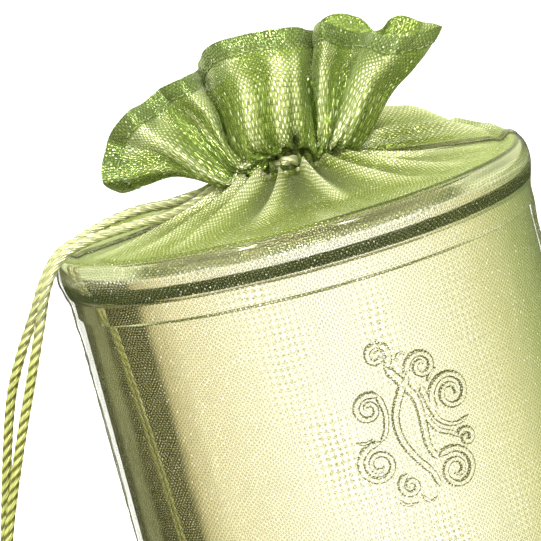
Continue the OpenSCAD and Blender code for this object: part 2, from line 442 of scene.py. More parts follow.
class Graph:
    """Adds nodes to a node tree and joins them, with short calls."""

    def __init__(self, tree: bpy.types.NodeTree) -> None:
        """Works on one node tree."""
        self.tree = tree

    def node(self, kind: str, **values: object) -> bpy.types.Node:
        """Adds a node.

        Args:
            kind: Blender's name for the node type.
            values: properties of the node.

        Returns:
            The new node.
        """
        made = self.tree.nodes.new(kind)
        for key, value in values.items():
            setattr(made, key, value)
        return made

    def feed(self, socket: bpy.types.NodeSocket, value: object) -> None:
        """Joins a socket to another one, or sets its value."""
        if isinstance(value, bpy.types.NodeSocket):
            self.tree.links.new(value, socket)
        else:
            socket.default_value = value

    def math(self, operation: str, *values: object, clamp: bool = False) -> bpy.types.NodeSocket:
        """Adds a math node and returns its result."""
        made = self.node("ShaderNodeMath", operation=operation, use_clamp=clamp)
        for socket, value in zip(made.inputs, values):
            self.feed(socket, value)
        return made.outputs[0]

    def vector(self, operation: str, *values: object) -> bpy.types.NodeSocket:
        """Adds a vector math node and returns its vector."""
        made = self.node("ShaderNodeVectorMath", operation=operation)
        for socket, value in zip(made.inputs, values):
            self.feed(socket, value)
        return made.outputs[0]

    def ramp(
        self, value: object, low: float, high: float, to_low: float = 0.0, to_high: float = 1.0
    ) -> bpy.types.NodeSocket:
        """Maps low..high smoothly to to_low..to_high and returns the result."""
        made = self.node("ShaderNodeMapRange", interpolation_type="SMOOTHSTEP")
        for name, number in (("From Min", low), ("From Max", high), ("To Min", to_low), ("To Max", to_high)):
            made.inputs[name].default_value = number
        self.feed(made.inputs["Value"], value)
        return made.outputs["Result"]

    def mix(self, share: object, first: object, second: object) -> bpy.types.NodeSocket:
        """Mixes two colours and returns the colour."""
        made = self.node("ShaderNodeMix", data_type="RGBA")
        self.feed(made.inputs["Factor"], share)
        self.feed(made.inputs["A"] if "A" in made.inputs else made.inputs[6], first)
        self.feed(made.inputs[7], second)
        return made.outputs[2]

    def noise(self, vector: object, scale: float, detail: float = 2.0) -> bpy.types.NodeSocket:
        """Adds a noise texture and returns its value."""
        made = self.node("ShaderNodeTexNoise")
        self.feed(made.inputs["Vector"], vector)
        made.inputs["Scale"].default_value = scale
        made.inputs["Detail"].default_value = detail
        return made.outputs["Fac"]


def colour(red: int, green: int, blue: int) -> tuple[float, float, float, float]:
    """Turns a screen colour, 0 to 255 each, into a linear one."""
    linear = [(c / 255 / 12.92) if c <= 10 else ((c / 255 + 0.055) / 1.055) ** 2.4 for c in (red, green, blue)]
    return (linear[0], linear[1], linear[2], 1.0)


def node_group(name: str, inputs: dict[str, float], outputs: dict[str, str]) -> tuple[bpy.types.NodeTree, Graph]:
    """Starts a shader node group.

    Args:
        name: the group's name.
        inputs: number inputs with their defaults.
        outputs: outputs with their socket types.

    Returns:
        The group and a graph that works on it.
    """
    group = bpy.data.node_groups.new(name, "ShaderNodeTree")
    for key, value in inputs.items():
        group.interface.new_socket(key, in_out="INPUT", socket_type="NodeSocketFloat").default_value = value
    for key, kind in outputs.items():
        group.interface.new_socket(key, in_out="OUTPUT", socket_type=kind)
    return group, Graph(group)


def open_weave_group() -> bpy.types.NodeTree:
    """Makes the plain open weave: crossing threads with gaps between them.

    Returns:
        A group with the thread cover, a mask of the raised crossings, a random tone for each crossing,
        a wide lattice and a glittering normal, all from the cloth's own UV map.
    """
    group, g = node_group(
        "OpenWeave",
        {"Threads": 600.0, "Width": 0.5, "Relief": 1.0, "Glitter": 0.5},
        {
            "Cover": "NodeSocketFloat",
            "Raised": "NodeSocketFloat",
            "Tone": "NodeSocketFloat",
            "Lattice": "NodeSocketFloat",
            "Normal": "NodeSocketVector",
        },
    )
    given = g.node("NodeGroupInput")
    given_out = g.node("NodeGroupOutput")
    uv = g.node("ShaderNodeUVMap", uv_map="UVMap").outputs[0]
    shift = g.node("ShaderNodeTexNoise", noise_dimensions="2D")
    g.feed(shift.inputs["Vector"], uv)
    shift.inputs["Scale"].default_value = 38.0
    shift.inputs["Detail"].default_value = 3.0
    drift = g.vector("SUBTRACT", shift.outputs["Color"], (0.5, 0.5, 0.5))
    bent = g.vector("MULTIPLY_ADD", drift, (0.006, 0.006, 0.0), uv)
    scaled = g.node("ShaderNodeVectorMath", operation="SCALE")
    g.feed(scaled.inputs[0], bent)
    g.feed(scaled.inputs["Scale"], given.outputs["Threads"])
    parts = g.node("ShaderNodeSeparateXYZ")
    g.feed(parts.inputs[0], scaled.outputs[0])
    wave_x = g.math("COSINE", g.math("MULTIPLY", parts.outputs[0], math.pi))
    wave_y = g.math("COSINE", g.math("MULTIPLY", parts.outputs[1], math.pi))
    far_x, far_y = g.math("ABSOLUTE", wave_x), g.math("ABSOLUTE", wave_y)
    edge = g.math("COSINE", g.math("MULTIPLY", given.outputs["Width"], math.pi / 2))
    warp = g.math("MULTIPLY_ADD", g.math("SUBTRACT", far_x, edge), 3.5, 0.5, clamp=True)
    weft = g.math("MULTIPLY_ADD", g.math("SUBTRACT", far_y, edge), 3.5, 0.5, clamp=True)
    cover = g.math("MAXIMUM", warp, weft)
    over = g.math("MULTIPLY", wave_x, wave_y)
    raised = g.ramp(over, 0.15, 0.85)
    height = g.math("MULTIPLY_ADD", g.math("ABSOLUTE", over), 0.55, g.math("MULTIPLY", far_x, 0.45))
    slant_a = g.math("MULTIPLY", g.math("ADD", parts.outputs[0], parts.outputs[1]), math.pi * 0.37)
    slant_b = g.math("MULTIPLY", g.math("SUBTRACT", parts.outputs[0], parts.outputs[1]), math.pi * 0.37)
    lattice = g.math("MULTIPLY", g.math("COSINE", slant_a), g.math("COSINE", slant_b))
    cell = g.vector("FLOOR", g.vector("ADD", scaled.outputs[0], (0.5, 0.5, 0.0)))
    random = g.node("ShaderNodeTexWhiteNoise", noise_dimensions="2D")
    g.feed(random.inputs["Vector"], cell)
    bump = g.node("ShaderNodeBump")
    bump.inputs["Distance"].default_value = 0.0001
    g.feed(bump.inputs["Strength"], given.outputs["Relief"])
    g.feed(bump.inputs["Height"], height)
    tilt = g.node("ShaderNodeVectorMath", operation="SCALE")
    g.feed(tilt.inputs[0], g.vector("SUBTRACT", random.outputs["Color"], (0.5, 0.5, 0.5)))
    g.feed(tilt.inputs["Scale"], given.outputs["Glitter"])
    normal = g.vector("NORMALIZE", g.vector("ADD", bump.outputs[0], tilt.outputs[0]))
    tone = random.outputs["Value"]
    for key, value in zip(("Cover", "Raised", "Tone", "Lattice", "Normal"), (cover, raised, tone, lattice, normal)):
        g.feed(given_out.inputs[key], value)
    return group


@dataclass(frozen=True)
class WovenFinish:
    """Sheer cloth of metallic threads.

    Attributes:
        name: the material's name.
        thread: colour of the threads.
        deep: colour of the threads that lie low.
        shine: colour of the painted highlight on the raised crossings where they catch the light.
        sheen: colour of the threads round them, a paler painted highlight.
        solid: opacity of a thread.
        gap: opacity between threads.
        width: share of the spacing that a thread fills.
        metal: how metallic it is.
        rough: surface roughness.
        relief: strength of the thread relief.
        glitter: how far single crossings lean.
        seen_through: share of opacity left to light that a mirror has turned back.
        threads: threads per UV unit.
        lattice: strength of a painted reflection on the lit bands: a lattice that stands for the cloth and its mirror
            image in the tin.
    """

    name: str
    thread: tuple[int, int, int]
    deep: tuple[int, int, int]
    shine: tuple[int, int, int]
    sheen: tuple[int, int, int]
    solid: float = 0.95
    gap: float = 0.15
    width: float = 0.5
    metal: float = 0.85
    rough: float = 0.32
    relief: float = 1.0
    glitter: float = 0.5
    seen_through: float = 0.3
    threads: float = 600.0
    lattice: float = 0.0

    def make(self, weave: bpy.types.NodeTree) -> bpy.types.Material:
        """Makes the material, with highlights and shade painted into its colour.

        Args:
            weave: the open weave group.

        Returns:
            The material.
        """
        made = bpy.data.materials.new(self.name)
        made.use_nodes = True
        g = Graph(made.node_tree)
        shader = made.node_tree.nodes["Principled BSDF"]
        group = g.node("ShaderNodeGroup", node_tree=weave)
        for key in ("Threads", "Width", "Relief", "Glitter"):
            group.inputs[key].default_value = getattr(self, key.lower())
        base = g.mix(group.outputs["Raised"], colour(*self.deep), colour(*self.thread))
        # Painted light: the glint attribute paints highlights (shine and sheen, and random sparkles on single
        # crossings) and painted shade (a darkened deep colour) into the base colour.
        glint = g.node("ShaderNodeAttribute", attribute_name="glint").outputs["Fac"]
        painted_sparkle = g.ramp(group.outputs["Tone"], 0.8, 0.98, 0.0, 0.6)
        painted_sparkle = g.math("MULTIPLY", painted_sparkle, g.math("MULTIPLY_ADD", glint, 1.0, 1.0, clamp=True))
        lit = g.math("MULTIPLY", g.math("MAXIMUM", glint, painted_sparkle), group.outputs["Raised"])
        lit = g.math("MULTIPLY", lit, g.ramp(group.outputs["Tone"], 0.0, 0.5, 0.55, 1.0))
        pale = g.mix(g.math("MULTIPLY", glint, 0.75, clamp=True), base, colour(*self.sheen))
        lit = g.math("MAXIMUM", lit, 0.0)
        shade = colour(*(int(c * 0.45) for c in self.deep))
        dim = g.mix(g.math("MULTIPLY", glint, -1.0, clamp=True), pale, shade)
        tint = g.mix(lit, dim, colour(*self.shine))
        alpha = g.math("MULTIPLY_ADD", group.outputs["Cover"], self.solid - self.gap, self.gap)
        # Painted reflection: on the lit bands, bright dots and darker lines of a lattice stand for the cloth's mirror
        # image in the tin.
        if self.lattice:
            seen = g.math("MULTIPLY", glint, self.lattice)
            painted_reflection_dots = g.math("MULTIPLY", g.ramp(group.outputs["Lattice"], 0.1, 0.6), seen)
            lines = g.math("MULTIPLY", g.ramp(group.outputs["Lattice"], 0.1, -0.5), seen)
            tint = g.mix(lines, g.mix(painted_reflection_dots, tint, colour(*self.shine)), colour(*self.deep))
            alpha = g.math("MULTIPLY_ADD", g.math("MAXIMUM", painted_reflection_dots, lines), 0.35, alpha, clamp=True)
        g.feed(shader.inputs["Base Color"], tint)
        path = g.node("ShaderNodeLightPath")
        turned = g.math("MULTIPLY_ADD", path.outputs["Is Glossy Ray"], self.seen_through - 1.0, 1.0)
        dense = g.math("MAXIMUM", g.math("MAXIMUM", alpha, lit), g.math("MULTIPLY", glint, -0.9))
        g.feed(shader.inputs["Alpha"], g.math("MULTIPLY", dense, turned))
        g.feed(shader.inputs["Normal"], group.outputs["Normal"])
        g.feed(shader.inputs["Metallic"], g.math("MULTIPLY_ADD", lit, -0.75 * self.metal, self.metal))
        shader.inputs["Roughness"].default_value = self.rough
        return made


@dataclass(frozen=True)
class TinFinish:
    """Bright tinplate with faint rolling marks.

    Attributes:
        name: the material's name.
        tint: colour of the metal.
        rough: surface roughness.
    """

    name: str
    tint: tuple[int, int, int]
    rough: float

    def make(self) -> bpy.types.Material:
        """Makes the material and returns it."""
        made = bpy.data.materials.new(self.name)
        made.use_nodes = True
        g = Graph(made.node_tree)
        shader = made.node_tree.nodes["Principled BSDF"]
        at = g.node("ShaderNodeTexCoord").outputs["Object"]
        rolled = g.noise(g.vector("MULTIPLY", at, (260.0, 260.0, 26.0)), 1.0, 3.0)
        patch = g.noise(at, 90.0, 3.0)
        bump = g.node("ShaderNodeBump")
        bump.inputs["Strength"].default_value = 0.12
        bump.inputs["Distance"].default_value = 0.0004
        g.feed(bump.inputs["Height"], g.math("MULTIPLY_ADD", rolled, 0.35, patch))
        g.feed(shader.inputs["Normal"], bump.outputs[0])
        g.feed(shader.inputs["Roughness"], g.ramp(rolled, 0.2, 0.8, self.rough * 0.8, self.rough * 1.3))
        shader.inputs["Base Color"].default_value = colour(*self.tint)
        shader.inputs["Metallic"].default_value = 1.0
        return made


@dataclass(frozen=True)
class CordFinish:
    """Twisted cord of metallic yarn.

    Attributes:
        name: the material's name.
        bright: colour of the plies' backs.
        dark: painted shade between the plies.
        plies: yarns in the twist.
        lay_length: length of a full turn of the twist, in metres.
    """

    name: str
    bright: tuple[int, int, int]
    dark: tuple[int, int, int]
    plies: int
    lay_length: float

    def make(self) -> bpy.types.Material:
        """Makes the material and returns it."""
        made = bpy.data.materials.new(self.name)
        made.use_nodes = True
        g = Graph(made.node_tree)
        shader = made.node_tree.nodes["Principled BSDF"]
        parts = g.node("ShaderNodeSeparateXYZ")
        g.feed(parts.inputs[0], g.node("ShaderNodeUVMap", uv_map="UVMap").outputs[0])
        turns = g.math("MULTIPLY_ADD", parts.outputs[1], -UV_SPAN / self.lay_length, parts.outputs[0])
        ply = g.math("COSINE", g.math("MULTIPLY", turns, self.plies * math.tau))
        slant = g.math("MULTIPLY", parts.outputs[1], 1800.0)
        strand = g.math("SINE", g.math("MULTIPLY_ADD", turns, self.plies * math.tau * 4, slant))
        shade = g.ramp(g.math("MULTIPLY_ADD", strand, 0.25, ply), -0.9, 0.7)
        height = g.node("ShaderNodeSeparateXYZ")
        g.feed(height.inputs[0], g.node("ShaderNodeTexCoord").outputs["Object"])
        # Painted highlight: the cord turns paler towards the top, from 48 mm up to the neck.
        painted_top_highlight = g.ramp(height.outputs[2], 0.048, 0.066, 0.0, 0.55)
        twisted = g.mix(shade, colour(*self.dark), colour(*self.bright))
        g.feed(shader.inputs["Base Color"], g.mix(painted_top_highlight, twisted, colour(244, 244, 206)))
        bump = g.node("ShaderNodeBump")
        bump.inputs["Strength"].default_value = 0.5
        bump.inputs["Distance"].default_value = 0.0001
        g.feed(bump.inputs["Height"], strand)
        g.feed(shader.inputs["Normal"], bump.outputs[0])
        shader.inputs["Metallic"].default_value = 0.75
        shader.inputs["Roughness"].default_value = 0.35
        return made


@dataclass(frozen=True)
class PlainFinish:
    """Plain material for thread and cut ends.

    Attributes:
        name: the material's name.
        tint: its colour.
        rough: surface roughness.
        metal: how metallic it is.
    """

    name: str
    tint: tuple[int, int, int]
    rough: float = 0.6
    metal: float = 0.3

    def make(self) -> bpy.types.Material:
        """Makes the material and returns it."""
        made = bpy.data.materials.new(self.name)
        made.use_nodes = True
        shader = made.node_tree.nodes["Principled BSDF"]
        g = Graph(made.node_tree)
        spot = g.noise(g.node("ShaderNodeTexCoord").outputs["Object"], 1500.0, 2.0)
        dim = tuple(int(c * 0.7) for c in self.tint)
        g.feed(shader.inputs["Base Color"], g.mix(spot, colour(*dim), colour(*self.tint)))
        shader.inputs["Roughness"].default_value = self.rough
        shader.inputs["Metallic"].default_value = self.metal
        return made


# ---------------------------------------------------------------- tin


@dataclass
class Tin:
    """The round tin inside: body, base and slip lid, with a raised scroll ornament.

    Attributes:
        metal: material of the plain tinplate.
        relief: dark material on the flanks and ends of the ornament's raised ribbons, a painted shade.
        ornament_height: height of the ornament's middle, in millimetres.
        ornament_turn: its direction, in degrees.
        ornament_scale: its size, as a share of its drawing.
        radius: outer radius of the wall, in millimetres.
    """

    metal: bpy.types.Material
    relief: bpy.types.Material
    radius: float = 29.7
    ornament_height: float = 35.4
    ornament_turn: float = 14.8
    ornament_scale: float = 1.2

    def body(self) -> bpy.types.Object:
        """Builds the wall with its rolled foot and a recessed base.

        Returns:
            The tin's body.
        """
        profile = [(29.7, 1.4), (29.7, 60.8), (29.4, 60.8), (29.4, 2.0), (28.9, 1.5), (0.02, 1.5), (0.02, 1.2)]
        profile += [(28.6, 1.2), (28.9, 0.75), (29.3, 0.55), (29.8, 0.6), (29.98, 0.95), (29.9, 1.25)]
        body = spun("tin_body", [(r * MM, z * MM) for r, z in profile])
        body.data.materials.append(self.metal)
        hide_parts("can_wall", "can_base")
        return ride(body, Body.SACK)

    def lid(self) -> bpy.types.Object:
        """Builds the slip lid: a beaded skirt with a curled edge and a shallow panel.

        Returns:
            The lid.
        """
        round_bead = np.radians(np.linspace(-88, 88, 23))
        outer = [(30.15 + 0.9 * math.cos(a) ** 0.8, 59.3 + 2.7 * math.sin(a)) for a in round_bead]
        inner = [(r - 0.3, 59.3 + (z - 59.3) * 0.9) for r, z in outer]
        profile = [(29.87, 54.05), (30.05, 54.0), (30.2, 54.15), (30.15, 54.45), *outer]
        profile += [(29.9, 62.0), (29.45, 61.85), (29.15, 61.5), (25.6, 61.45), (25.2, 61.25), (0.02, 61.25)]
        profile += [(0.02, 60.95), (25.3, 60.95), (25.7, 61.15), (29.0, 61.15), (29.4, 61.5)]
        profile += [*inner[::-1], (29.86, 54.4)]
        lid = spun("tin_lid", [(r * MM, z * MM) for r, z in profile])
        lid.data.materials.append(self.metal)
        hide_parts("slip_lid")
        return ride(lid, Body.LID)

    def on_wall(self, across: float, up: float, out: float) -> np.ndarray:
        """Turns a flat point of the ornament into one on the wall, in metres."""
        turn = math.radians(270 + self.ornament_turn) + across * self.ornament_scale / self.radius
        reach = self.radius + out
        rise = self.ornament_height + up * self.ornament_scale
        return np.array([reach * math.cos(turn), reach * math.sin(turn), rise]) * MM

    def ribbon(self, line: Sequence[tuple[float, float]], width: float, taper: float) -> bpy.types.Object:
        """Raises one ribbon of the ornament along a flat line.

        Args:
            line: points across and up, in millimetres.
            width: the ribbon's width at its start.
            taper: the share of that width left at its end.

        Returns:
            The ribbon.
        """
        flat = np.array([(a, b, 0.0) for a, b in line])
        flat = evenly(catmull(flat, 8), 0.22)
        ahead = np.gradient(flat, axis=0)
        ahead /= np.linalg.norm(ahead, axis=1)[:, None]
        side = np.stack([-ahead[:, 1], ahead[:, 0]], axis=1)
        count = len(flat)
        share = np.linspace(0, 1, count)
        half = width / 2 * (1 + (taper - 1) * share) * np.clip(np.minimum(share, 1 - share) * count / 2.5, 0.35, 1)
        section = [(-1.0, -0.05), (-0.92, 0.14), (-0.5, 0.3), (0.0, 0.26), (0.5, 0.3), (0.92, 0.14), (1.0, -0.05)]
        points = []
        for i in range(count):
            for offset, out in section:
                at = flat[i, :2] + side[i] * offset * half[i]
                points.append(self.on_wall(at[0], at[1], out))
        size = len(section)
        faces = []
        for i in range(count - 1):
            for k in range(size):
                kk = (k + 1) % size
                faces.append((i * size + k, (i + 1) * size + k, (i + 1) * size + kk, i * size + kk))
        faces.append(tuple(range(size)))
        faces.append(tuple((count - 1) * size + k for k in range(size - 1, -1, -1)))
        made = mesh_from("ribbon", np.array(points), faces)
        # Every face but the ribbon's top takes the dark relief material: painted shade on the flanks and ends of the
        # raised ribbons.
        flank = [1 if i >= size * (count - 1) or i % size not in (2, 3) else 0 for i in range(len(faces))]
        made.data.polygons.foreach_set("material_index", flank)
        return made

    @staticmethod
    def volute(
        centre: tuple[float, float], radius: float, start: float, turns: float
    ) -> list[tuple[float, float]]:
        """Points of a spiral that winds into its centre.

        Args:
            centre: middle of the spiral, across and up.
            radius: its outer radius.
            start: angle where it begins, in degrees.
            turns: how far it winds; negative winds the other way.

        Returns:
            The spiral's points.
        """
        steps = max(6, round(abs(turns) * 14))
        out = []
        for k in range(steps + 1):
            share = k / steps
            reach = radius * (1 - 0.8 * share**0.8)
            angle = math.radians(start) + turns * math.tau * share
            out.append((centre[0] + reach * math.cos(angle), centre[1] + reach * math.sin(angle)))
        return out

    def ornament(self) -> bpy.types.Object:
        """Builds the raised scrolls: spirals that grow from a slanting pair of stems.

        Returns:
            The ornament as one piece.
        """
        lines: list[tuple[list[tuple[float, float]], float, float]] = []
        for centre, radius, start, turns in (
            ((-2.2, 7.6), 1.55, -70.0, 1.5),
            ((2.2, 5.2), 1.75, 200.0, -1.5),
            ((4.7, 1.6), 2.5, 215.0, -1.7),
            ((-4.3, 2.4), 1.7, 40.0, 1.4),
            ((-4.6, -3.4), 2.3, 75.0, 1.7),
            ((-2.0, -6.4), 1.25, 90.0, 1.4),
            ((3.2, -6.2), 2.4, 130.0, -1.7),
            ((5.2, -3.4), 1.0, 160.0, -1.3),
        ):
            lines.append((self.volute(centre, radius, start, turns), 0.95, 0.65))
        lines += [
            ([(-1.6, 6.2), (-0.3, 4.2), (0.8, 2.0), (0.9, -0.8), (0.9, -3.0), (1.5, -4.6)], 1.1, 0.75),
            ([(0.6, 4.8), (-0.8, 3.0), (-1.8, 0.8), (-1.7, -1.6), (-0.7, -3.8), (0.5, -5.6), (1.0, -7.4)], 1.05, 0.7),
            ([(-3.1, 3.8), (-2.7, 1.6), (-3.2, -0.4), (-4.0, -1.2)], 0.8, 0.7),
            ([(1.6, 3.4), (2.0, 1.0), (2.8, -0.9), (4.4, -1.7), (6.0, -1.3)], 0.8, 0.6),
            ([(1.2, 0.4), (2.2, -1.6), (3.6, -2.4), (4.4, -3.2)], 0.75, 0.7),
            ([(-0.4, 6.6), (0.4, 7.2), (1.0, 6.6)], 0.5, 0.5),
            ([(2.4, 3.4), (3.0, 4.2), (3.7, 4.6)], 0.5, 0.5),
            ([(-6.4, -0.6), (-5.4, -0.9), (-4.6, -0.6)], 0.5, 0.5),
            ([(-3.6, -7.4), (-3.0, -8.2), (-1.6, -8.3)], 0.5, 0.5),
            ([(-1.2, -7.6), (-0.4, -8.6), (0.4, -8.2)], 0.5, 0.5),
        ]
        parts = [self.ribbon(line, width, taper) for line, width, taper in lines]
        for part in parts:
            part.data.materials.append(self.metal)
            part.data.materials.append(self.relief)
        made = join(parts, "scroll_relief")
        tidy_mesh(made)
        smooth(made, 50.0)
        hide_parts("scroll_ornament")
        return ride(made, Body.SACK)


# ---------------------------------------------------------------- sack


@dataclass(frozen=True)
class Crease:
    """One radial fold of the gathered top.

    Attributes:
        turn: its direction from the neck, in degrees round Z from +X.
        height: how far it stands up near the neck, in millimetres.
        width: half its width near the neck, in degrees.
        reach: radius where it has died away, in millimetres.
        drift: how far it turns aside on its way out, in degrees.
    """

    turn: float
    height: float
    width: float
    reach: float
    drift: float = 0.0


@dataclass
class Sack:
    """The cloth round the tin: base patch, two panels, seams, corner folds, gathered neck.

    Attributes:
        wall: material of the single cloth.
        top: material of the cloth that is drawn together over the lid.
        doubled: material of cloth that lies double.
        folded: material of the side seams and the folded corners.
        thread: material of the stitches.
        turn: direction of the right-hand seam, in degrees.
        panel_flat: width and length of a panel's flat cut, in metres.
        channel_flat: length round the flat channel and its width, in metres.
        creases: the folds of the gathered top.
        wall_bands: painted highlight bands down the wall: direction and half width in degrees, strength, slant.
    """

    wall: bpy.types.Material
    top: bpy.types.Material
    doubled: bpy.types.Material
    folded: bpy.types.Material
    thread: bpy.types.Material
    turn: float = 4.0
    panel_flat: tuple[float, float] = (0.098, 0.092)
    channel_flat: tuple[float, float] = (0.196, 0.002885)
    creases: tuple[Crease, ...] = (
        Crease(283, 2.3, 9, 19, 6),
        Crease(262, 1.9, 8, 23, -6),
        Crease(241, 2.2, 9, 26, -10),
        Crease(222, 1.6, 9, 28, -6),
        Crease(203, 1.5, 9, 28, -3),
        Crease(180, 0.4, 10, 26, 4),
        Crease(155, 1.4, 9, 27, 5),
        Crease(130, 1.2, 10, 26, -3),
        Crease(106, 1.4, 9, 26, 4),
        Crease(82, 1.4, 9, 28, -3),
        Crease(60, 2.7, 13, 33, 3),
        Crease(38, 2.6, 13, 34, -4),
        Crease(17, 1.8, 11, 32, 4),
        Crease(352, 1.3, 8, 27, 5),
        Crease(330, 1.7, 8, 25, 3),
        Crease(306, 2.0, 8, 24, 8),
    )
    wall_bands: tuple[tuple[float, float, float, float], ...] = (
        (265.0, 8.0, 1.0, 0.9),
        (285.0, 6.0, 0.8, 0.35),
        (306.0, 8.0, 0.45, 0.2),
    )

    @staticmethod
    def profile() -> np.ndarray:
        """Points (radius, height) of the cloth from the base edge to the neck, in millimetres."""
        wall = [(29.2, 0.3), (29.8, 0.35), (30.1, 0.9)] + [(30.05, z) for z in np.linspace(3.0, 51.0, 17)]
        bead = [(30.28, 53.6), (30.42, 55.6), (30.85, 57.2), (31.2, 58.7), (31.25, 59.8), (31.05, 61.0), (30.7, 61.8)]
        top = [(30.2, 62.3), (29.5, 62.45)]
        inward = (28.6, 27, 25, 22.5, 20, 17.5, 15, 12.5, 10, 8, 6.6)
        rise = [(r, 62.35 + 2.2 * ((30.15 - r) / 24.15) ** 4) for r in inward]
        neck = [(5.9, 64.9), (5.65, 65.3)]
        flat = np.array([(r, z, 0.0) for r, z in wall + bead + top + rise + neck])
        return evenly(catmull(flat, 8), 0.05)[:, :2]

    def lift(self, turn: np.ndarray, radius: np.ndarray) -> np.ndarray:
        """Height of the gathered top's folds over its plain shape, in millimetres.

        Args:
            turn: direction from the neck, in degrees.
            radius: distance from the neck.

        Returns:
            The height for each point.
        """
        out = np.zeros_like(radius)
        for fold in self.creases:
            share = np.clip((radius - 6) / (fold.reach - 6), 0, 1)
            gap = wrapped(turn - fold.turn - fold.drift * share)
            width = fold.width * (1 - 0.35 * share)
            ridge = np.exp(-((np.abs(gap) / width) ** 1.25) * 1.6)
            out += 1.7 * fold.height * ridge * (1 - share) ** 0.9 * smoothstep(radius, 5.2, 8.5)
        fine = wobble(turn * 0.32, radius * 0.25, 2.4, 5) * 0.14 + wobble(turn * 0.9, radius * 0.2, 2.6, 8) * 0.07
        out += fine * smoothstep(radius, 5.5, 9.0) * smoothstep(-radius, -30.3, -27.0)
        roll = 3.9 * np.exp(-(((wrapped(turn) - 40) / 25) ** 2)) * smoothstep(radius, 8.0, 16.0)
        out += roll * (1 - 0.75 * smoothstep(radius, 22.0, 30.5))
        dip = np.exp(-(((radius - 28.4) / 0.75) ** 2)) * 0.42
        return out - 0.35 - dip + 0.35 * smoothstep(radius, 27.0, 30.0)

    def place(
        self, first: float, last: float, out: float = 0.0, part: tuple[float, float] = (0.0, 1.0)
    ) -> Callable[[np.ndarray, np.ndarray], np.ndarray]:
        """Gives a function that lays cloth between two turns on the tin.

        Args:
            first: turn of the cloth's first side, in degrees.
            last: turn of its other side.
            out: distance above the plain cloth, in millimetres.
            part: share of the way from base to neck where it starts and ends.

        Returns:
            A function from shares across and along to points in metres.
        """
        line = self.profile()
        gaps = np.linalg.norm(np.diff(line, axis=0), axis=1)
        travel = np.concatenate([[0.0], np.cumsum(gaps)])
        ahead = np.gradient(line, axis=0)
        ahead /= np.linalg.norm(ahead, axis=1)[:, None]

        def laid(across: np.ndarray, along: np.ndarray) -> np.ndarray:
            """Turns shares across and along the cloth into points.

            Args:
                across: shares of the way from side to side.
                along: shares of the way from start to end.

            Returns:
                The points, in metres.
            """
            turn = first + (last - first) * across
            way = (part[0] + (part[1] - part[0]) * along) * travel[-1]
            radius, height = (np.interp(way, travel, line[:, k]) for k in (0, 1))
            out_r, out_z = np.interp(way, travel, ahead[:, 1]), -np.interp(way, travel, ahead[:, 0])
            on_wall = smoothstep(height, 1.0, 6.0) * smoothstep(-height, -57.0, -52.0)
            round_wall = turn * 0.53
            waves = 0.16 + 0.1 * wobble(round_wall, height, 7.0, 3) + 0.03 * wobble(round_wall, height, 1.6, 4)
            push = out + on_wall * waves
            on_top = smoothstep(height, 61.9, 62.25)
            lifted = on_top * self.lift(turn, radius)
            neck = smoothstep(-radius, -9.0, -5.8)
            gather = neck * channel_pleats(np.radians(turn), 0.38, 0.25)
            r = radius + out_r * push + gather
            z = height + out_z * push + lifted * (1 - 0.7 * smoothstep(-radius, -6.4, -5.7))
            angle = np.radians(turn)
            centre = on_top * (1 - smoothstep(radius, 5.0, 29.0))
            z = z + centre * NECK_SHIFT[1] * 0.8
            return np.stack([r * np.cos(angle) + centre * NECK_SHIFT[0], r * np.sin(angle), z], axis=1) * MM

        return laid

    def panel(self, name: str, first: float, nodes: tuple[str, ...]) -> bpy.types.Object:
        """Lays one panel of cloth round half the tin and over its top.

        Args:
            name: the piece's name.
            first: turn of its first side, in degrees.
            nodes: the CAD nodes it stands for.

        Returns:
            The panel.
        """
        made = sheet_grid(name, 330, 250, self.panel_flat, self.place(first, first + 180))
        made.data.materials.append(self.wall)
        made.data.materials.append(self.top)
        self.catch_light(made, first, 180.0)
        middles = np.zeros(len(made.data.polygons) * 3, np.float32)
        made.data.polygons.foreach_get("center", middles)
        middles = middles.reshape(-1, 3) / MM
        drawn = ((middles[:, 2] > 61.2) & (np.hypot(middles[:, 0], middles[:, 1]) < 30.5)).astype(np.int32)
        made.data.polygons.foreach_set("material_index", drawn)
        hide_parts(*nodes)
        return ride(made, Body.SACK)

    def catch_light(self, made: bpy.types.Object, first: float, span: float) -> None:
        """Paints where a panel catches the light or lies in shade, as highlights and shade painted into its colour.

        Args:
            made: the panel.
            first: turn of its first side, in degrees.
            span: how far it reaches round, in degrees.
        """
        uv = np.zeros(len(made.data.loops) * 2, np.float32)
        made.data.uv_layers[0].data.foreach_get("uv", uv)
        corner = np.zeros(len(made.data.loops), np.int32)
        made.data.loops.foreach_get("vertex_index", corner)
        share = np.zeros(len(made.data.vertices))
        share[corner] = uv.reshape(-1, 2)[:, 0] * UV_SPAN / self.panel_flat[0]
        points = np.zeros(len(made.data.vertices) * 3, np.float32)
        made.data.vertices.foreach_get("co", points)
        points = points.reshape(-1, 3) / MM
        turn = first + span * share
        height = points[:, 2]
        radius = np.hypot(points[:, 0] - NECK_SHIFT[0] * 0.5, points[:, 1])
        # Painted highlight along the crests of the folds of the gathered top.
        crest = np.zeros_like(turn)
        for fold in self.creases:
            way = np.clip((radius - 6) / (fold.reach - 6), 0, 1)
            gap = wrapped(turn - fold.turn - fold.drift * way)
            crest += 1.4 * np.exp(-((gap / (fold.width * 0.42)) ** 2)) * (1 - way) ** 0.4
        crest *= 0.75 + 0.35 * wobble(turn * 0.2, radius, 5.0, 15)
        # On the lid's bead: a band of painted highlight with a band of painted shade above it.
        on_bead = smoothstep(radius, 29.9, 30.2)
        rim = np.exp(-(((height - 60.0) / 0.6) ** 2)) * on_bead * (0.6 + 0.3 * wobble(turn, height, 9.0, 23))
        rim = rim - np.exp(-(((height - 61.4) / 0.5) ** 2)) * on_bead * (0.75 + 0.25 * wobble(turn, height, 16.0, 29))
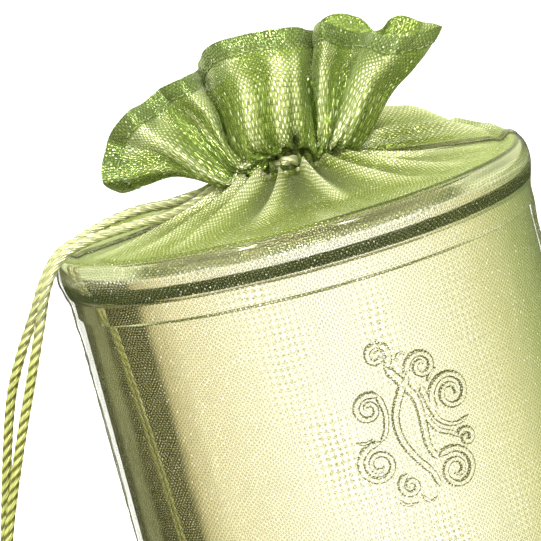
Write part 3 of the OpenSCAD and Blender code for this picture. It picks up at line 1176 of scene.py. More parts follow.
        # Painted highlight bands down the wall, slanting with height.
        slant = (35.0 - height) * 0.55
        bands = sum(
            level * np.exp(-(((turn - middle - slant * drift) / wide) ** 2))
            for middle, wide, level, drift in self.wall_bands
        )
        bands = bands * (0.75 + 0.3 * wobble(turn * 0.53, height, 4.0, 19))
        on_top = smoothstep(height, 61.6, 62.4)
        # Painted shade between the crests near the neck.
        crest = crest - 0.55 * smoothstep(0.45 - crest, 0.0, 0.45) * smoothstep(-radius, -21.0, -9.0)
        # Painted shade in broken lines round the rim of the gathered top.
        broken = smoothstep(wobble(turn, height, 14.0, 27), -0.7, 0.1)
        edge = np.exp(-(((radius - 29.9) / 0.3) ** 2)) * broken
        edge = edge + 0.6 * np.exp(-(((radius - 28.2) / 0.25) ** 2)) * (1 - broken)
        on_wall = (1 - on_top) * (1 - on_bead * smoothstep(height, 56.0, 58.0))
        paint_glint(made, bands * on_wall + crest * on_top * (1 - on_bead) + rim - 1.3 * edge * on_top)

    def base(self) -> bpy.types.Object:
        """Lays the round patch of cloth under the tin.

        Returns:
            The patch.
        """

        def laid(across: np.ndarray, along: np.ndarray) -> np.ndarray:
            """Turns shares across and along the cloth into points.

            Args:
                across: shares of the way from side to side.
                along: shares of the way from start to end.

            Returns:
                The points, in metres.
            """
            x, y = across * 2 - 1, along * 2 - 1
            rx, ry = x * np.sqrt(1 - y * y / 2), y * np.sqrt(1 - x * x / 2)
            z = 0.3 + 0.1 * wobble(x * 29, y * 29, 6.0, 12)
            return np.stack([rx * 29.5, ry * 29.5, z], axis=1) * MM

        made = sheet_grid("base_patch", 90, 90, (0.059, 0.059), laid)
        made.data.materials.append(self.wall)
        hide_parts("base_cloth")
        return ride(made, Body.SACK)

    def seam(self, name: str, middle: float, node: str) -> bpy.types.Object:
        """Lays a folded side seam over the panels' edges.

        Args:
            name: the piece's name.
            middle: turn of the seam, in degrees.
            node: the CAD node it stands for.

        Returns:
            The seam.
        """
        half, low, high = 2.6, 0.02, 0.955
        outer = self.place(middle - half, middle + half, 0.2, (low, high))
        made = sheet_grid(name, 10, 220, (0.003, 0.088), outer)
        made.data.materials.append(self.folded)
        thicken(made, 0.22)
        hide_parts(node)
        return ride(made, Body.SACK)

    def seam_stitches(self, name: str, middle: float) -> bpy.types.Object:
        """Sews a row of stitches along a side seam.

        Args:
            name: the piece's name.
            middle: turn of the seam, in degrees.

        Returns:
            The stitches as one piece.
        """
        along = np.linspace(0.03, 0.95, 900)
        line = self.place(middle, middle + 0.01, 0.3, (0.0, 1.0))(np.full_like(along, 0.5), along)
        return ride(stitch_row(name, line, self.thread, 1.3, 0.7, 0.06), Body.SACK)

    def corner(self, name: str, middle: float, node: str) -> bpy.types.Object:
        """Folds the flat corner of the bag up against the wall.

        Args:
            name: the piece's name.
            middle: turn of the fold's middle, in degrees.
            node: the CAD node it stands for.

        Returns:
            The folded corner.
        """

        def laid(across: np.ndarray, along: np.ndarray) -> np.ndarray:
            """Turns shares across and along the cloth into points.

            Args:
                across: shares of the way from side to side.
                along: shares of the way from start to end.

            Returns:
                The points, in metres.
            """
            half = 14.0 * (1 - 0.93 * along)
            turn = np.radians(middle + (across * 2 - 1) * half)
            z = 0.5 + 17.0 * along
            bulge = 0.25 * (1 - np.abs(across * 2 - 1) ** 2) * (1 - along)
            r = 30.5 + (bulge + 0.08 * wobble(across * 12, along * 17, 3.0, 21))
            return np.stack([r * np.cos(turn), r * np.sin(turn), z], axis=1) * MM

        made = sheet_grid(name, 40, 46, (0.015, 0.017), laid)
        made.data.materials.append(self.folded)
        thicken(made, 0.25)
        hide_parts(node)
        return ride(made, Body.SACK)

    def channel(self) -> bpy.types.Object:
        """Gathers the sewn channel round the drawcord into close pleats.

        Returns:
            The channel.
        """
        columns, rows = 420, 26
        turn = np.linspace(0, math.tau, columns, endpoint=False)
        share = np.linspace(0, 1, rows)
        t, s = np.meshgrid(turn, share, indexing="ij")
        pleat = channel_pleats(t, 0.42, 0.25) + 0.1 * np.sin(t * 61)
        pinch = np.exp(-(((s - 0.1) / 0.07) ** 2)) + np.exp(-(((s - 0.88) / 0.07) ** 2))
        bulge = 0.45 * np.sin(s * math.pi) - 0.35 * pinch
        r = 5.1 + bulge + pleat * (0.7 + 0.5 * np.sin(s * math.pi))
        z = 64.7 + 2.7 * s + 0.12 * np.sin(t * CHANNEL_PLEATS[0] + 1) + NECK_SHIFT[1] * (0.5 + 0.5 * s)
        points = np.stack([r * np.cos(t) + NECK_SHIFT[0], r * np.sin(t), z], axis=-1).reshape(-1, 3) * MM
        made = ring_cloth("gathered_channel", points, columns, rows, self.channel_flat)
        made.data.materials.append(self.doubled)
        thicken(made, 0.2, -1.0)
        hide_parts("drawcord_channel")
        return ride(made, Body.SACK)

    def channel_stitches(self, name: str, height: float, node: str) -> bpy.types.Object:
        """Sews a row of stitches round the channel.

        Args:
            name: the piece's name.
            height: its height, in millimetres.
            node: the CAD node it stands for.

        Returns:
            The stitches as one piece.
        """
        turn = np.linspace(0, math.tau, 700)
        r = 5.3 + channel_pleats(turn, 0.36, 0.2)
        line = np.stack([r * np.cos(turn) + NECK_SHIFT[0], r * np.sin(turn), np.full_like(turn, height)], axis=1) * MM
        made = stitch_row(name, line, self.thread)
        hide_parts(node)
        return ride(made, Body.SACK)

    def build(self) -> None:
        """Builds the whole sack: base patch, two panels, corner folds, side seams with their stitches, and the
        gathered channel with its stitches.
        """
        base = self.base()
        front = self.panel("front_cloth", 180 + self.turn, ("front_panel", "front_shoulder"))
        back = self.panel("back_cloth", self.turn, ("back_panel", "back_shoulder"))
        folded = (
            self.corner("corner_flap_left", 180 + self.turn, "left_corner_fold"),
            self.corner("corner_flap_right", self.turn, "right_corner_fold"),
        )
        sewn = (
            self.seam("seam_left", 180 + self.turn, "left_side_seam"),
            self.seam("seam_right", self.turn, "right_side_seam"),
            self.seam_stitches("seam_stitches_left", 180 + self.turn),
            self.seam_stitches("seam_stitches_right", self.turn),
        )
        gathered = (
            self.channel(),
            self.channel_stitches("lower_stitches", 65.7, "lower_channel_stitch"),
            self.channel_stitches("upper_stitches", 68.2, "upper_channel_stitch"),
        )


def stitch_row(
    name: str,
    line: np.ndarray,
    thread: bpy.types.Material,
    length: float = 1.3,
    gap: float = 0.7,
    radius: float = 0.11,
) -> bpy.types.Object:
    """Sews running stitches along a line.

    Args:
        name: the piece's name.
        line: points that the row follows, in metres.
        thread: the stitches' material.
        length: length of a stitch, in millimetres.
        gap: space between two stitches.
        radius: radius of the thread.

    Returns:
        The stitches as one piece.
    """
    travel = np.concatenate([[0.0], np.cumsum(np.linalg.norm(np.diff(line, axis=0), axis=1))]) / MM
    count = int((travel[-1] - length) / (length + gap)) + 1
    parts = []
    for k in range(count):
        start = k * (length + gap)
        wanted = start + np.linspace(0, length, 5)
        points = np.stack([np.interp(wanted, travel, line[:, c]) for c in range(3)], axis=1)
        thick = np.array([0.35, 0.95, 1.0, 0.95, 0.35]) * radius * MM
        parts.append(swept_plain(points, thick, 6))
    points = np.concatenate([p for p, _ in parts])
    faces: list[tuple[int, ...]] = []
    base = 0
    for part, own in parts:
        faces += [tuple(i + base for i in f) for f in own]
        base += len(part)
    made = mesh_from(name, points, faces)
    smooth(made)
    made.data.materials.append(thread)
    return made


def swept_plain(line: np.ndarray, radius: np.ndarray, sides: int) -> tuple[np.ndarray, list[tuple[int, ...]]]:
    """Gives the points and faces of a short closed tube.

    Args:
        line: centre points.
        radius: radius at each of them.
        sides: points round the section.

    Returns:
        The tube's points and its faces.
    """
    ahead = np.gradient(line, axis=0)
    ahead /= np.linalg.norm(ahead, axis=1)[:, None] + 1e-12
    away = np.array([0.31, 0.17, 0.94])
    side = np.cross(ahead, away)
    side /= np.linalg.norm(side, axis=1)[:, None]
    other = np.cross(ahead, side)
    turn = np.arange(sides) / sides * math.tau
    points = line[:, None] + radius[:, None, None] * (
        np.cos(turn)[None, :, None] * side[:, None] + np.sin(turn)[None, :, None] * other[:, None]
    )
    faces: list[tuple[int, ...]] = []
    for i in range(len(line) - 1):
        for k in range(sides):
            kk = (k + 1) % sides
            faces.append((i * sides + k, i * sides + kk, (i + 1) * sides + kk, (i + 1) * sides + k))
    faces.append(tuple(range(sides - 1, -1, -1)))
    faces.append(tuple((len(line) - 1) * sides + k for k in range(sides)))
    return points.reshape(-1, 3), faces


# ---------------------------------------------------------------- frill


@dataclass(frozen=True)
class Fold:
    """One fold line of the frill, from the neck to the hem.

    Attributes:
        hem: where it ends, in millimetres.
        mid: a point half way along it.
        low: a point just outside the gathered channel.
    """

    hem: Point
    mid: Point | None = None
    low: Point | None = None


@dataclass(frozen=True)
class Glint:
    """A ridge of the frill with a painted highlight, where it catches the light.

    Attributes:
        at: its fold number at the hem.
        end_at: its fold number at the neck.
        wide: half width, in folds.
        level: its strength.
        start: share of the way up where it starts.
        stop: share of the way up where it stops.
    """

    at: float
    end_at: float
    wide: float
    level: float
    start: float
    stop: float

    def shine(self, fold_at: np.ndarray, way: np.ndarray) -> np.ndarray:
        """Tells how strong a painted highlight it puts on the cloth.

        Args:
            fold_at: fold number of each column of points.
            way: share of the way up of each row.

        Returns:
            The brightness at each point.
        """
        gap = np.abs(fold_at - (self.end_at + (self.at - self.end_at) * way))
        lit = self.level * np.exp(-((gap / self.wide) ** 2)) * smoothstep(way, self.start - 0.1, self.start + 0.1)
        return lit * smoothstep(-way, -self.stop - 0.06, -self.stop + 0.06)


@dataclass
class Frill:
    """The ruffled header above the drawcord, with its turned hem.

    Attributes:
        cloth: material of the frill.
        doubled: material of the turned hem.
        thread: material of the stitches.
        folds: the fold lines, in order round the ring.
        flat: length and depth of the header's flat cut, in metres.
        glints: ridges with painted highlights.
    """

    cloth: bpy.types.Material
    doubled: bpy.types.Material
    thread: bpy.types.Material
    folds: tuple[Fold, ...] = (
        Fold((-22.5, -3.0, 70.4), (-13.9, -4.2, 69.7), (-8.3, -3.2, 66.6)),
        Fold((-20.6, -0.5, 75.1), (-13.8, -3.0, 71.9), (-7.9, -4.0, 66.6)),
        Fold((-17.1, -5.0, 78.6), (-13.3, -6.4, 73.1), (-7.2, -6.2, 66.3)),
        Fold((-14.8, -1.0, 78.7), (-10.9, -2.4, 74.3), (-6.2, -4.6, 67.2)),
        Fold((-12.4, 0.0, 79.8), (-9.6, -2.0, 75.7), (-5.6, -4.6, 68.2)),
        Fold((-9.2, -4.0, 80.9), (-7.5, -5.2, 75.8), (-5.2, -5.6, 69.0)),
        Fold((-7.1, 5.0, 80.5), (-5.9, 1.4, 74.6), (-5.0, -3.6, 66.3)),
        Fold((-6.0, -2.0, 83.1), (-5.1, -3.4, 76.9), (-3.9, -5.0, 67.6)),
        Fold((-4.3, -7.0, 84.4), (-3.1, -7.8, 77.6), (-3.0, -7.0, 70.0)),
        Fold((-0.2, -8.6, 84.6), (0.5, -8.8, 78.0), (-0.1, -7.0, 69.9)),
        Fold((5.5, -8.0, 84.0), (4.6, -8.4, 77.1), (3.0, -7.0, 70.0)),
        Fold((8.5, 1.0, 82.0), (6.3, -1.0, 75.7), (5.2, -5.6, 67.0)),
        Fold((9.8, -5.0, 83.4), (7.9, -4.6, 76.8), (5.4, -5.5, 68.4)),
        Fold((13.0, 2.0, 80.6), (9.7, -0.8, 75.5), (6.4, -4.5, 67.4)),
        Fold((15.4, 2.4, 79.7), (11.6, -0.6, 75.4), (6.7, -4.1, 67.9)),
        Fold((18.1, -6.0, 79.2), (13.2, -6.4, 74.7), (7.6, -5.6, 67.8)),
        Fold((21.1, -3.0, 78.6), (15.1, -2.8, 72.5), (9.2, -3.4, 66.3)),
        Fold((24.7, 2.0, 78.0), (16.3, 1.4, 71.6), (9.8, -0.6, 66.3)),
        Fold((22.9, 8.0, 78.6), (16.1, 5.6, 71.5), (9.3, 2.4, 66.3)),
        Fold((19.8, 11.0, 80.0), (14.3, 7.0, 73.3), (8.0, 4.6, 67.5)),
        Fold((16.6, 9.0, 79.0), (11.9, 6.2, 74.1), (7.1, 4.6, 68.5)),
        Fold((14.9, 12.0, 81.0), (10.2, 9.0, 75.4), (5.9, 6.2, 69.0)),
        Fold((11.2, 13.0, 82.1), (7.5, 9.4, 76.2), (4.6, 6.6, 68.6)),
        Fold((5.5, 8.0, 79.9), (4.2, 6.6, 75.0), (3.1, 6.7, 68.3)),
        Fold((-0.6, 14.0, 80.4), (0.3, 10.0, 75.5), (0.4, 7.0, 68.1)),
        Fold((-5.0, 8.6, 77.4), (-2.9, 6.8, 73.4), (-2.1, 6.3, 67.8)),
        Fold((-11.6, 12.0, 76.1), (-7.0, 8.6, 72.2), (-3.9, 5.8, 67.3)),
        Fold((-16.5, 8.0, 72.6), (-10.0, 5.8, 70.4), (-5.6, 4.4, 66.8)),
        Fold((-19.8, 3.0, 67.8), (-13.0, 1.8, 68.7), (-6.8, 1.6, 66.5)),
    )
    flat: tuple[float, float] = (0.182, 0.0205)
    glints: tuple[Glint, ...] = (
        Glint(2.0, 2.2, 0.34, 1.0, 0.2, 1.0),
        Glint(0.9, 1.6, 0.3, 0.6, 0.45, 0.95),
        Glint(4.1, 4.4, 0.14, 0.7, 0.5, 0.95),
        Glint(5.1, 5.3, 0.3, 1.0, 0.3, 1.0),
        Glint(8.2, 8.3, 0.25, 0.7, 0.4, 0.9),
        Glint(9.5, 9.3, 0.16, 0.9, 0.3, 0.8),
        Glint(10.1, 9.7, 0.14, 0.9, 0.35, 0.8),
        Glint(12.0, 12.0, 0.16, 1.0, 0.4, 1.0),
        Glint(15.0, 14.6, 0.42, 1.0, 0.2, 0.97),
        Glint(16.9, 16.5, 0.12, 0.6, 0.5, 1.0),
    )

    def surface(self) -> tuple[np.ndarray, int, int]:
        """Computes the ruffled ring.

        Returns:
            Its points in metres, one row per fold line, and the counts round and along.
        """
        count = len(self.folds)
        cage = []
        for i, fold in enumerate(self.folds):
            turn = math.radians(184 + 182 * i / 17 if i <= 17 else 366 + 178 * (i - 17) / (count - 17))
            ring = np.array([math.cos(turn), math.sin(turn), 0.0])
            neck = ring * 2.7 + (NECK_SHIFT[0], 0, 67.5 + NECK_SHIFT[1])
            collar = ring * (4.9 if i % 2 else 4.2) + (NECK_SHIFT[0], 0, 68.4 + NECK_SHIFT[1])
            hem = np.array(fold.hem)
            low = np.array(fold.low)
            mid = np.array(fold.mid)
            upper = mid * 0.5 + hem * 0.5 + ring * 0.5
            cage.append([neck, collar, low, mid, upper, hem])
        cage = np.array(cage)
        along_parts, round_parts = 12, 20
        rows = [catmull(line, along_parts) for line in cage]
        mesh = catmull(np.array(rows), round_parts, closed=True)
        columns, length = mesh.shape[0], mesh.shape[1]
        s = np.linspace(0, 1, length)[None, :]
        t = np.linspace(0, 1, columns, endpoint=False)[:, None]
        ahead = np.roll(mesh, -1, axis=0) - np.roll(mesh, 1, axis=0)
        up = np.gradient(mesh, axis=1)
        normal = np.cross(ahead, up)
        normal /= np.linalg.norm(normal, axis=2)[:, :, None] + 1e-9
        angle = t * math.tau
        pleat = (
            1.45 * np.sin(angle * 38 + 1.6 * np.sin(angle * 5)) * np.exp(-(((s - 0.17) / 0.17) ** 2))
            + 0.36 * np.sin(angle * 54 + 2.4 * np.sin(angle * 3 + 1)) * np.exp(-(((s - 0.34) / 0.2) ** 2))
        )
        crumple = wobble(t * 190, s * 12, 3.4, 31) * 0.30 + wobble(t * 190, s * 14, 1.6, 33) * 0.10
        push = pleat + crumple * smoothstep(s, 0.2, 0.5)
        push = push * smoothstep(s, 0.0, 0.12)
        mesh = mesh + normal * push[:, :, None]
        return mesh.reshape(-1, 3) * MM, columns, length

    def shine(self, columns: int, rows: int) -> np.ndarray:
        """Paints where the frill catches the light: painted highlights along the ridges and in scattered patches.

        Args:
            columns: points round the ring.
            rows: points from neck to hem.

        Returns:
            The brightness at each point.
        """
        fold_at = (np.arange(columns) / columns * len(self.folds))[:, None]
        way = np.linspace(0, 1, rows)[None, :]
        lit = np.zeros((columns, rows))
        for glint in self.glints:
            lit += glint.shine(fold_at, way)
        lit = lit * (0.85 + 0.35 * wobble(fold_at * 5.0, way * 12, 2.2, 41))
        # Scattered patches of painted highlight.
        lit = lit + 0.4 * smoothstep(wobble(fold_at * 3.0, way * 9, 2.0, 43), 0.45, 1.1)
        return lit * 1.25

    @staticmethod
    def hem_band(grid: np.ndarray, depth: float = 2.5 * MM, lift: float = 0.16 * MM) -> np.ndarray:
        """Lays the turned hem over the frill's outer edge.

        Args:
            grid: the frill's points, by column and row.
            depth: how deep the hem is, in metres.
            lift: how far it stands off the cloth.

        Returns:
            The hem's points, by column and row.
        """
        columns, band_rows = len(grid), 9
        travel = np.linalg.norm(np.diff(grid, axis=1), axis=2)
        left = np.cumsum(travel[:, ::-1], axis=1)[:, ::-1]
        ahead = np.roll(grid, -1, axis=0) - np.roll(grid, 1, axis=0)
        normal = np.cross(ahead, np.gradient(grid, axis=1))
        normal /= np.linalg.norm(normal, axis=2)[:, :, None] + 1e-12
        rise = lift * np.sin(np.linspace(0.15, 1, band_rows) * math.pi * 0.9)
        wanted = np.linspace(depth, 0.0, band_rows)
        band = np.zeros((columns, band_rows, 3))
        for i in range(columns):
            back = np.concatenate([left[i], [0.0]])
            for c in range(3):
                on_cloth = np.interp(-wanted, -back, grid[i, :, c])
                band[i, :, c] = on_cloth + np.interp(-wanted, -back, normal[i, :, c]) * rise
        return band

    def blend(self, made: bpy.types.Object) -> None:
        """Bakes a piece of the frill's placement into its points."""
        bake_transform(made)

    def build(self) -> None:
        """Builds the frill, its turned hem and the hem's stitches."""
        points, columns, rows = self.surface()
        cloth = ring_cloth("frill_cloth", points, columns, rows, self.flat)
        cloth.data.materials.append(self.cloth)
        paint_glint(cloth, self.shine(columns, rows))
        band = self.hem_band(points.reshape(columns, rows, 3))
        hem_flat = (self.flat[0], 0.0028)
        hem = ring_cloth(
            "frill_hem_band", band.reshape(-1, 3), columns, band.shape[1], hem_flat, self.flat[1] - hem_flat[1]
        )
        hem.data.materials.append(self.doubled)
        seam_line = np.concatenate([band[:, 1, :], band[:1, 1, :]])
        stitches = stitch_row("frill_stitches", seam_line, self.thread, 1.1, 0.8, 0.08)
        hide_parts("front_frill", "back_frill", "neck_gathers")
        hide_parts("frill_hem")
        for piece, slot in ((cloth, Slot.ORGANZA), (hem, Slot.DOUBLED), (stitches, Slot.THREAD)):
            self.blend(piece)
        LOG.info("frill: %d faces", len(cloth.data.polygons))


# ---------------------------------------------------------------- drawcord


@dataclass
class Drawcord:
    """The twisted cord: a loop in the channel, two long tails, a stop knot and cut ends.

    Attributes:
        yarn: the cord's material.
        diameter: the cord's diameter, in millimetres.
        lay_length: distance over which it twists once round.
        knot: middle of the knot that joins the tails.
        front_route: way of the front tail from the neck to the knot.
        back_route: way of the back tail.
    """

    yarn: bpy.types.Material
    diameter: float = 1.3
    lay_length: float = 4.4
    knot: Point = (-39.0, -28.1, 1.5)
    front_route: tuple[Point, ...] = (
        (0.5, -1.05, 66), (-3.5, -1.05, 66), (-6.6, -1.05, 66), (-9, -2, 65.7), (-11.6, -3.8, 65), (-15, -5.6, 64.5),
        (-19, -6.8, 64.6), (-23.5, -7.6, 64.5), (-27, -8.2, 64.1), (-30, -8.8, 63.1), (-32.5, -9, 60.2),
        (-34.7, -9, 55.5), (-37.4, -9, 49.5), (-40.4, -9, 43), (-43, -9, 37), (-45.4, -9, 31), (-47.8, -9, 24),
        (-49.8, -9.2, 17), (-51.2, -9.8, 10), (-51.8, -11.2, 4.4), (-51.9, -13.8, 1.4), (-51.9, -17, 0.7),
        (-51.4, -20.4, 0.7), (-49.8, -23.8, 0.7), (-47, -26.2, 0.7), (-43.6, -27.2, 0.7), (-40.4, -27.2, 0.7),
    )  # fmt: skip
    back_route: tuple[Point, ...] = (
        (0.5, 1.05, 66), (-3.5, 1.05, 66), (-6.6, 1.05, 66), (-9.2, 0.1, 65.8), (-11.8, -1.6, 65.5),
        (-15, -3.4, 65.6), (-19, -4.7, 66), (-23, -5.3, 65.6), (-27, -5.6, 64.5), (-30.4, -5.8, 63.2),
        (-33, -6, 60.3), (-35.4, -6, 56.4),
        (-38, -6, 52.4), (-40.6, -6, 47.6), (-42.8, -6, 41.6), (-44.8, -6.2, 35), (-46.8, -6.6, 28), (-49, -7, 20),
        (-51.4, -7.6, 12), (-53.4, -8.8, 5.4), (-54.6, -11.2, 1.8), (-55, -14.4, 0.7), (-54.9, -18.4, 0.7),
        (-54, -22.4, 0.7), (-52, -25.8, 0.7), (-49, -28.2, 0.7), (-45, -29.3, 0.7), (-40.6, -29, 0.7),
    )  # fmt: skip

    def section(self, turn: np.ndarray, travel: np.ndarray) -> np.ndarray:
        """Radius of the twisted cord's three-lobed section.

        Args:
            turn: angle round the section.
            travel: distance along the cord, in metres.

        Returns:
            The radius, in metres.
        """
        twist = turn - travel / (self.lay_length * MM) * math.tau
        return self.diameter / 2 * MM * (0.80 + 0.22 * np.abs(np.cos(1.5 * twist)) ** 0.7)

    def tail(self, name: str, route: tuple[Point, ...], node: str) -> tuple[bpy.types.Object, np.ndarray]:
        """Builds one tail.

        Args:
            name: the piece's name.
            route: its way from the neck to the knot, in millimetres.
            node: the CAD node it stands for.

        Returns:
            The tail and its centreline.
        """
        line = evenly(catmull(np.array(route, float), 12), 0.22) * MM
        made = swept(name, line, self.section, 20)
        made.data.materials.append(self.yarn)
        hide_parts(node)
        return ride(made, Body.DRAWCORD), line

    def loop(self) -> bpy.types.Object:
        """Builds the part of the cord that runs through the channel and shows between its pleats.

        Returns:
            The loop.
        """
        turn = np.linspace(0, math.tau, 240, endpoint=False)
        degrees = np.degrees(turn)
        r = 4.35 + 1.15 * np.exp(-(((degrees - 271) / 17) ** 2))
        z = 66.3 + 1.1 * np.exp(-(((degrees - 268) / 22) ** 2))
        line = np.stack([r * np.cos(turn) + NECK_SHIFT[0], r * np.sin(turn), z], axis=1) * MM
        made = swept("cord_loop", line, self.section, 20, closed=True)
        made.data.materials.append(self.yarn)
        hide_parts("drawcord_loop")
        return ride(made, Body.SACK)

    def stop_knot(self) -> bpy.types.Object:
        """Ties the overhand knot that joins the two tails.

        Returns:
            The knot.
        """
        t = np.linspace(0, math.tau, 220, endpoint=False)
        across, along = np.sin(t) + 2 * np.sin(2 * t), np.cos(t) - 2 * np.cos(2 * t)
        path = np.stack([across, along, -1.3 * np.sin(3 * t)], axis=1) * 0.5
        line = (path + np.array(self.knot)) * MM
        made = swept("tie_knot", line, lambda turn, travel: self.section(turn, travel) * 1.12, 20, closed=True)
        made.data.materials.append(self.yarn)
        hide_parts("stop_knot")
        return ride(made, Body.DRAWCORD)

    def ends(self) -> bpy.types.Object:
        """Builds the two short ends past the knot, each fraying into fibres.

        Returns:
            Both ends as one piece.
        """
        parts = []
        pick = np.random.default_rng(7)
        for side in (-1, 1):
            lean = math.radians(12) * side
            start = np.array([self.knot[0] + 1, self.knot[1] + side, 0.68])
            ahead = np.array([math.cos(lean), math.sin(lean), 0.0])
            line = evenly(np.array([start + ahead * d for d in (0, 2, 4, 5.4)]), 0.2) * MM
            parts.append(swept("end", line, self.section, 20))
            for _ in range(16):
                bend = pick.uniform(-0.45, 0.45, 2)
                at = start + ahead * 5.2 + np.array([0, pick.uniform(-0.4, 0.4), pick.uniform(-0.35, 0.4)])
                fibre = [at]
                for k in range(4):
                    step = ahead + np.array([0.0, bend[0] * k * 0.5, bend[1] * k * 0.35])
                    fibre.append(fibre[-1] + step / np.linalg.norm(step) * 0.42)
                fibre_line = np.array(fibre)
                fibre_line[:, 2] = np.maximum(fibre_line[:, 2], 0.12)
                points, faces = swept_plain(fibre_line * MM, np.array([0.09, 0.09, 0.08, 0.06, 0.03]) * MM, 5)
                piece = mesh_from("fibre", points, faces)
                piece.data.uv_layers.new(name="UVMap")
                parts.append(piece)
        made = join(parts, "frayed_ends")
        made.data.materials.clear()
        made.data.materials.append(self.yarn)
        smooth(made)
        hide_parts("cord_ends")
        return ride(made, Body.DRAWCORD)

    def build(self) -> None:
        """Builds the whole cord: its loop, knot, frayed ends and two tails."""
        self.loop()
        knot = self.stop_knot()
        ends = self.ends()
        for name, route, node, extra in (
            ("cord_tail_front", self.front_route, "front_tail", (knot, ends)),
            ("cord_tail_back", self.back_route, "back_tail", ()),
        ):
            made, line = self.tail(name, route, node)
            LOG.info("%s is %.1f mm long", name, length_of(line) / MM)


# ---------------------------------------------------------------- studio


@dataclass
class Studio:
    """Pale floor, soft light, painted surroundings for the mirrors, and the camera.

    Attributes:
        elevation: the camera's height over the ground, in degrees.
        roll: its tilt to one side, in degrees.
        distance: its distance from the object, in metres.
        lens: its focal length, in millimetres.
        tent_glow: brightness of the tent.
        tent_top: colour of the upper tent.
        tent_lid: colour of the upper tent's front.
        roof: colour of the tent's roof.
        tent_stops: colours round the lower tent, by direction in degrees.
    """

    elevation: float = 9.0
    roll: float = 14.8
    distance: float = 0.5
    lens: float = 258.0
    tent_glow: float = 1.7
    tent_top: tuple[int, int, int] = (214, 222, 176)
    tent_lid: tuple[int, int, int] = (72, 86, 48)
    roof: tuple[int, int, int] = (108, 122, 60)
    tent_stops: tuple[tuple[float, tuple[int, int, int]], ...] = (
        (-180, (62, 64, 46)),
        (-148, (60, 62, 44)),
        (-140, (112, 114, 80)),
        (-128, (104, 106, 74)),
        (-123, (30, 34, 25)),
        (-92, (27, 31, 23)),
        (-86, (176, 166, 122)),
        (-70, (226, 218, 178)),
        (-30, (240, 237, 214)),
        (5, (250, 250, 240)),
        (50, (238, 236, 212)),
        (84, (206, 204, 156)),
        (118, (150, 160, 106)),
        (150, (104, 118, 76)),
        (180, (76, 82, 54)),
    )

    def camera(self) -> None:
        """Sets the camera at a low three-quarter height, tilted to one side."""
        e, r = math.radians(self.elevation), math.radians(self.roll)
        right = Vector((1, 0, 0))
        up = Vector((0, math.sin(e), math.cos(e)))
        back = Vector((0, -math.cos(e), math.sin(e)))
        target = Vector((0, 0, 0.0566)) - right * 0.00469 - up * 0.00318
        across = right * math.cos(r) - up * math.sin(r)
        rise = right * math.sin(r) + up * math.cos(r)
        place = Matrix((across, rise, back)).transposed().to_4x4()
        place.translation = target + back * self.distance
        bpy.ops.object.camera_add()
        made = bpy.context.object
        made.name = "camera"
        made.matrix_world = place
        made.data.lens = self.lens
        made.data.sensor_width = 36.0
        made.data.clip_start = 0.01
        bpy.context.scene.camera = made

    def floor(self) -> None:
        """Lays the pale floor."""
        bpy.ops.mesh.primitive_plane_add(size=8.0, location=(0, 0, -0.0001))
        made = name_piece(bpy.context.object, "floor")
        paint = bpy.data.materials.new("floor_paint")
        paint.use_nodes = True
        shader = paint.node_tree.nodes["Principled BSDF"]
        shader.inputs["Base Color"].default_value = (0.9, 0.9, 0.89, 1.0)
        shader.inputs["Roughness"].default_value = 0.9
        shader.inputs["Emission Color"].default_value = (1.0, 1.0, 1.0, 1.0)
        shader.inputs["Emission Strength"].default_value = 0.6
        made.data.materials.append(paint)
        made.visible_glossy = False

    def mirror_only(self, made: bpy.types.Object, paint: bpy.types.Material) -> None:
        """Makes a stage piece that only mirrors can see."""
        made.data.materials.append(paint)
        for ray in HIDDEN_FROM:
            setattr(made, ray, False)

    @staticmethod
    def glow_paint(name: str) -> tuple[bpy.types.Material, Graph, bpy.types.Node]:
        """Makes a glowing material.

        Args:
            name: the material's name.

        Returns:
            The material, its graph and its glow node.
        """
        paint = bpy.data.materials.new(name)
        paint.use_nodes = True
        g = Graph(paint.node_tree)
        paint.node_tree.nodes.remove(paint.node_tree.nodes["Principled BSDF"])
        glow = g.node("ShaderNodeEmission")
        g.feed(paint.node_tree.nodes["Material Output"].inputs["Surface"], glow.outputs[0])
        return paint, g, glow

    def tent(self) -> None:
        """Stands a painted tent round the object, which only mirrors can see."""
        bpy.ops.mesh.primitive_cylinder_add(
            vertices=96, radius=TENT_RADIUS, depth=0.75, end_fill_type="NOTHING", location=(0, 0, -0.02)
        )
        made = name_piece(bpy.context.object, "mirror_tent")
        bpy.ops.object.transform_apply(location=True, rotation=False, scale=False)
        paint, g, glow = self.glow_paint("mirror_tent_paint")
        at = g.node("ShaderNodeTexCoord").outputs["Object"]
        parts = g.node("ShaderNodeSeparateXYZ")
        g.feed(parts.inputs[0], at)
        ragged = g.math("MULTIPLY_ADD", g.noise(g.vector("MULTIPLY", at, (30.0, 30.0, 70.0)), 1.0, 4.0), 0.02, -0.01)
        turn = g.math("ARCTAN2", parts.outputs[0], g.math("MULTIPLY", parts.outputs[1], -1.0))
        share = g.math("ADD", g.math("MULTIPLY_ADD", turn, 1 / math.tau, 0.5), ragged)
        ramp = g.node("ShaderNodeValToRGB")
        stops = self.tent_stops
        ramp.color_ramp.elements[0].position = (stops[0][0] + 180) / 360
        ramp.color_ramp.elements[0].color = colour(*stops[0][1])
        ramp.color_ramp.elements[1].position = (stops[-1][0] + 180) / 360
        ramp.color_ramp.elements[1].color = colour(*stops[-1][1])
        for angle, shade in stops[1:-1]:
            ramp.color_ramp.elements.new((angle + 180) / 360).color = colour(*shade)
        g.feed(ramp.inputs[0], share)
        upper = g.mix(g.ramp(parts.outputs[1], -0.1, 0.02), colour(*self.tent_lid), colour(*self.tent_top))
        g.feed(glow.inputs["Color"], g.mix(g.ramp(parts.outputs[2], 0.044, 0.06), ramp.outputs["Color"], upper))
        glow.inputs["Strength"].default_value = self.tent_glow
        self.mirror_only(made, paint)

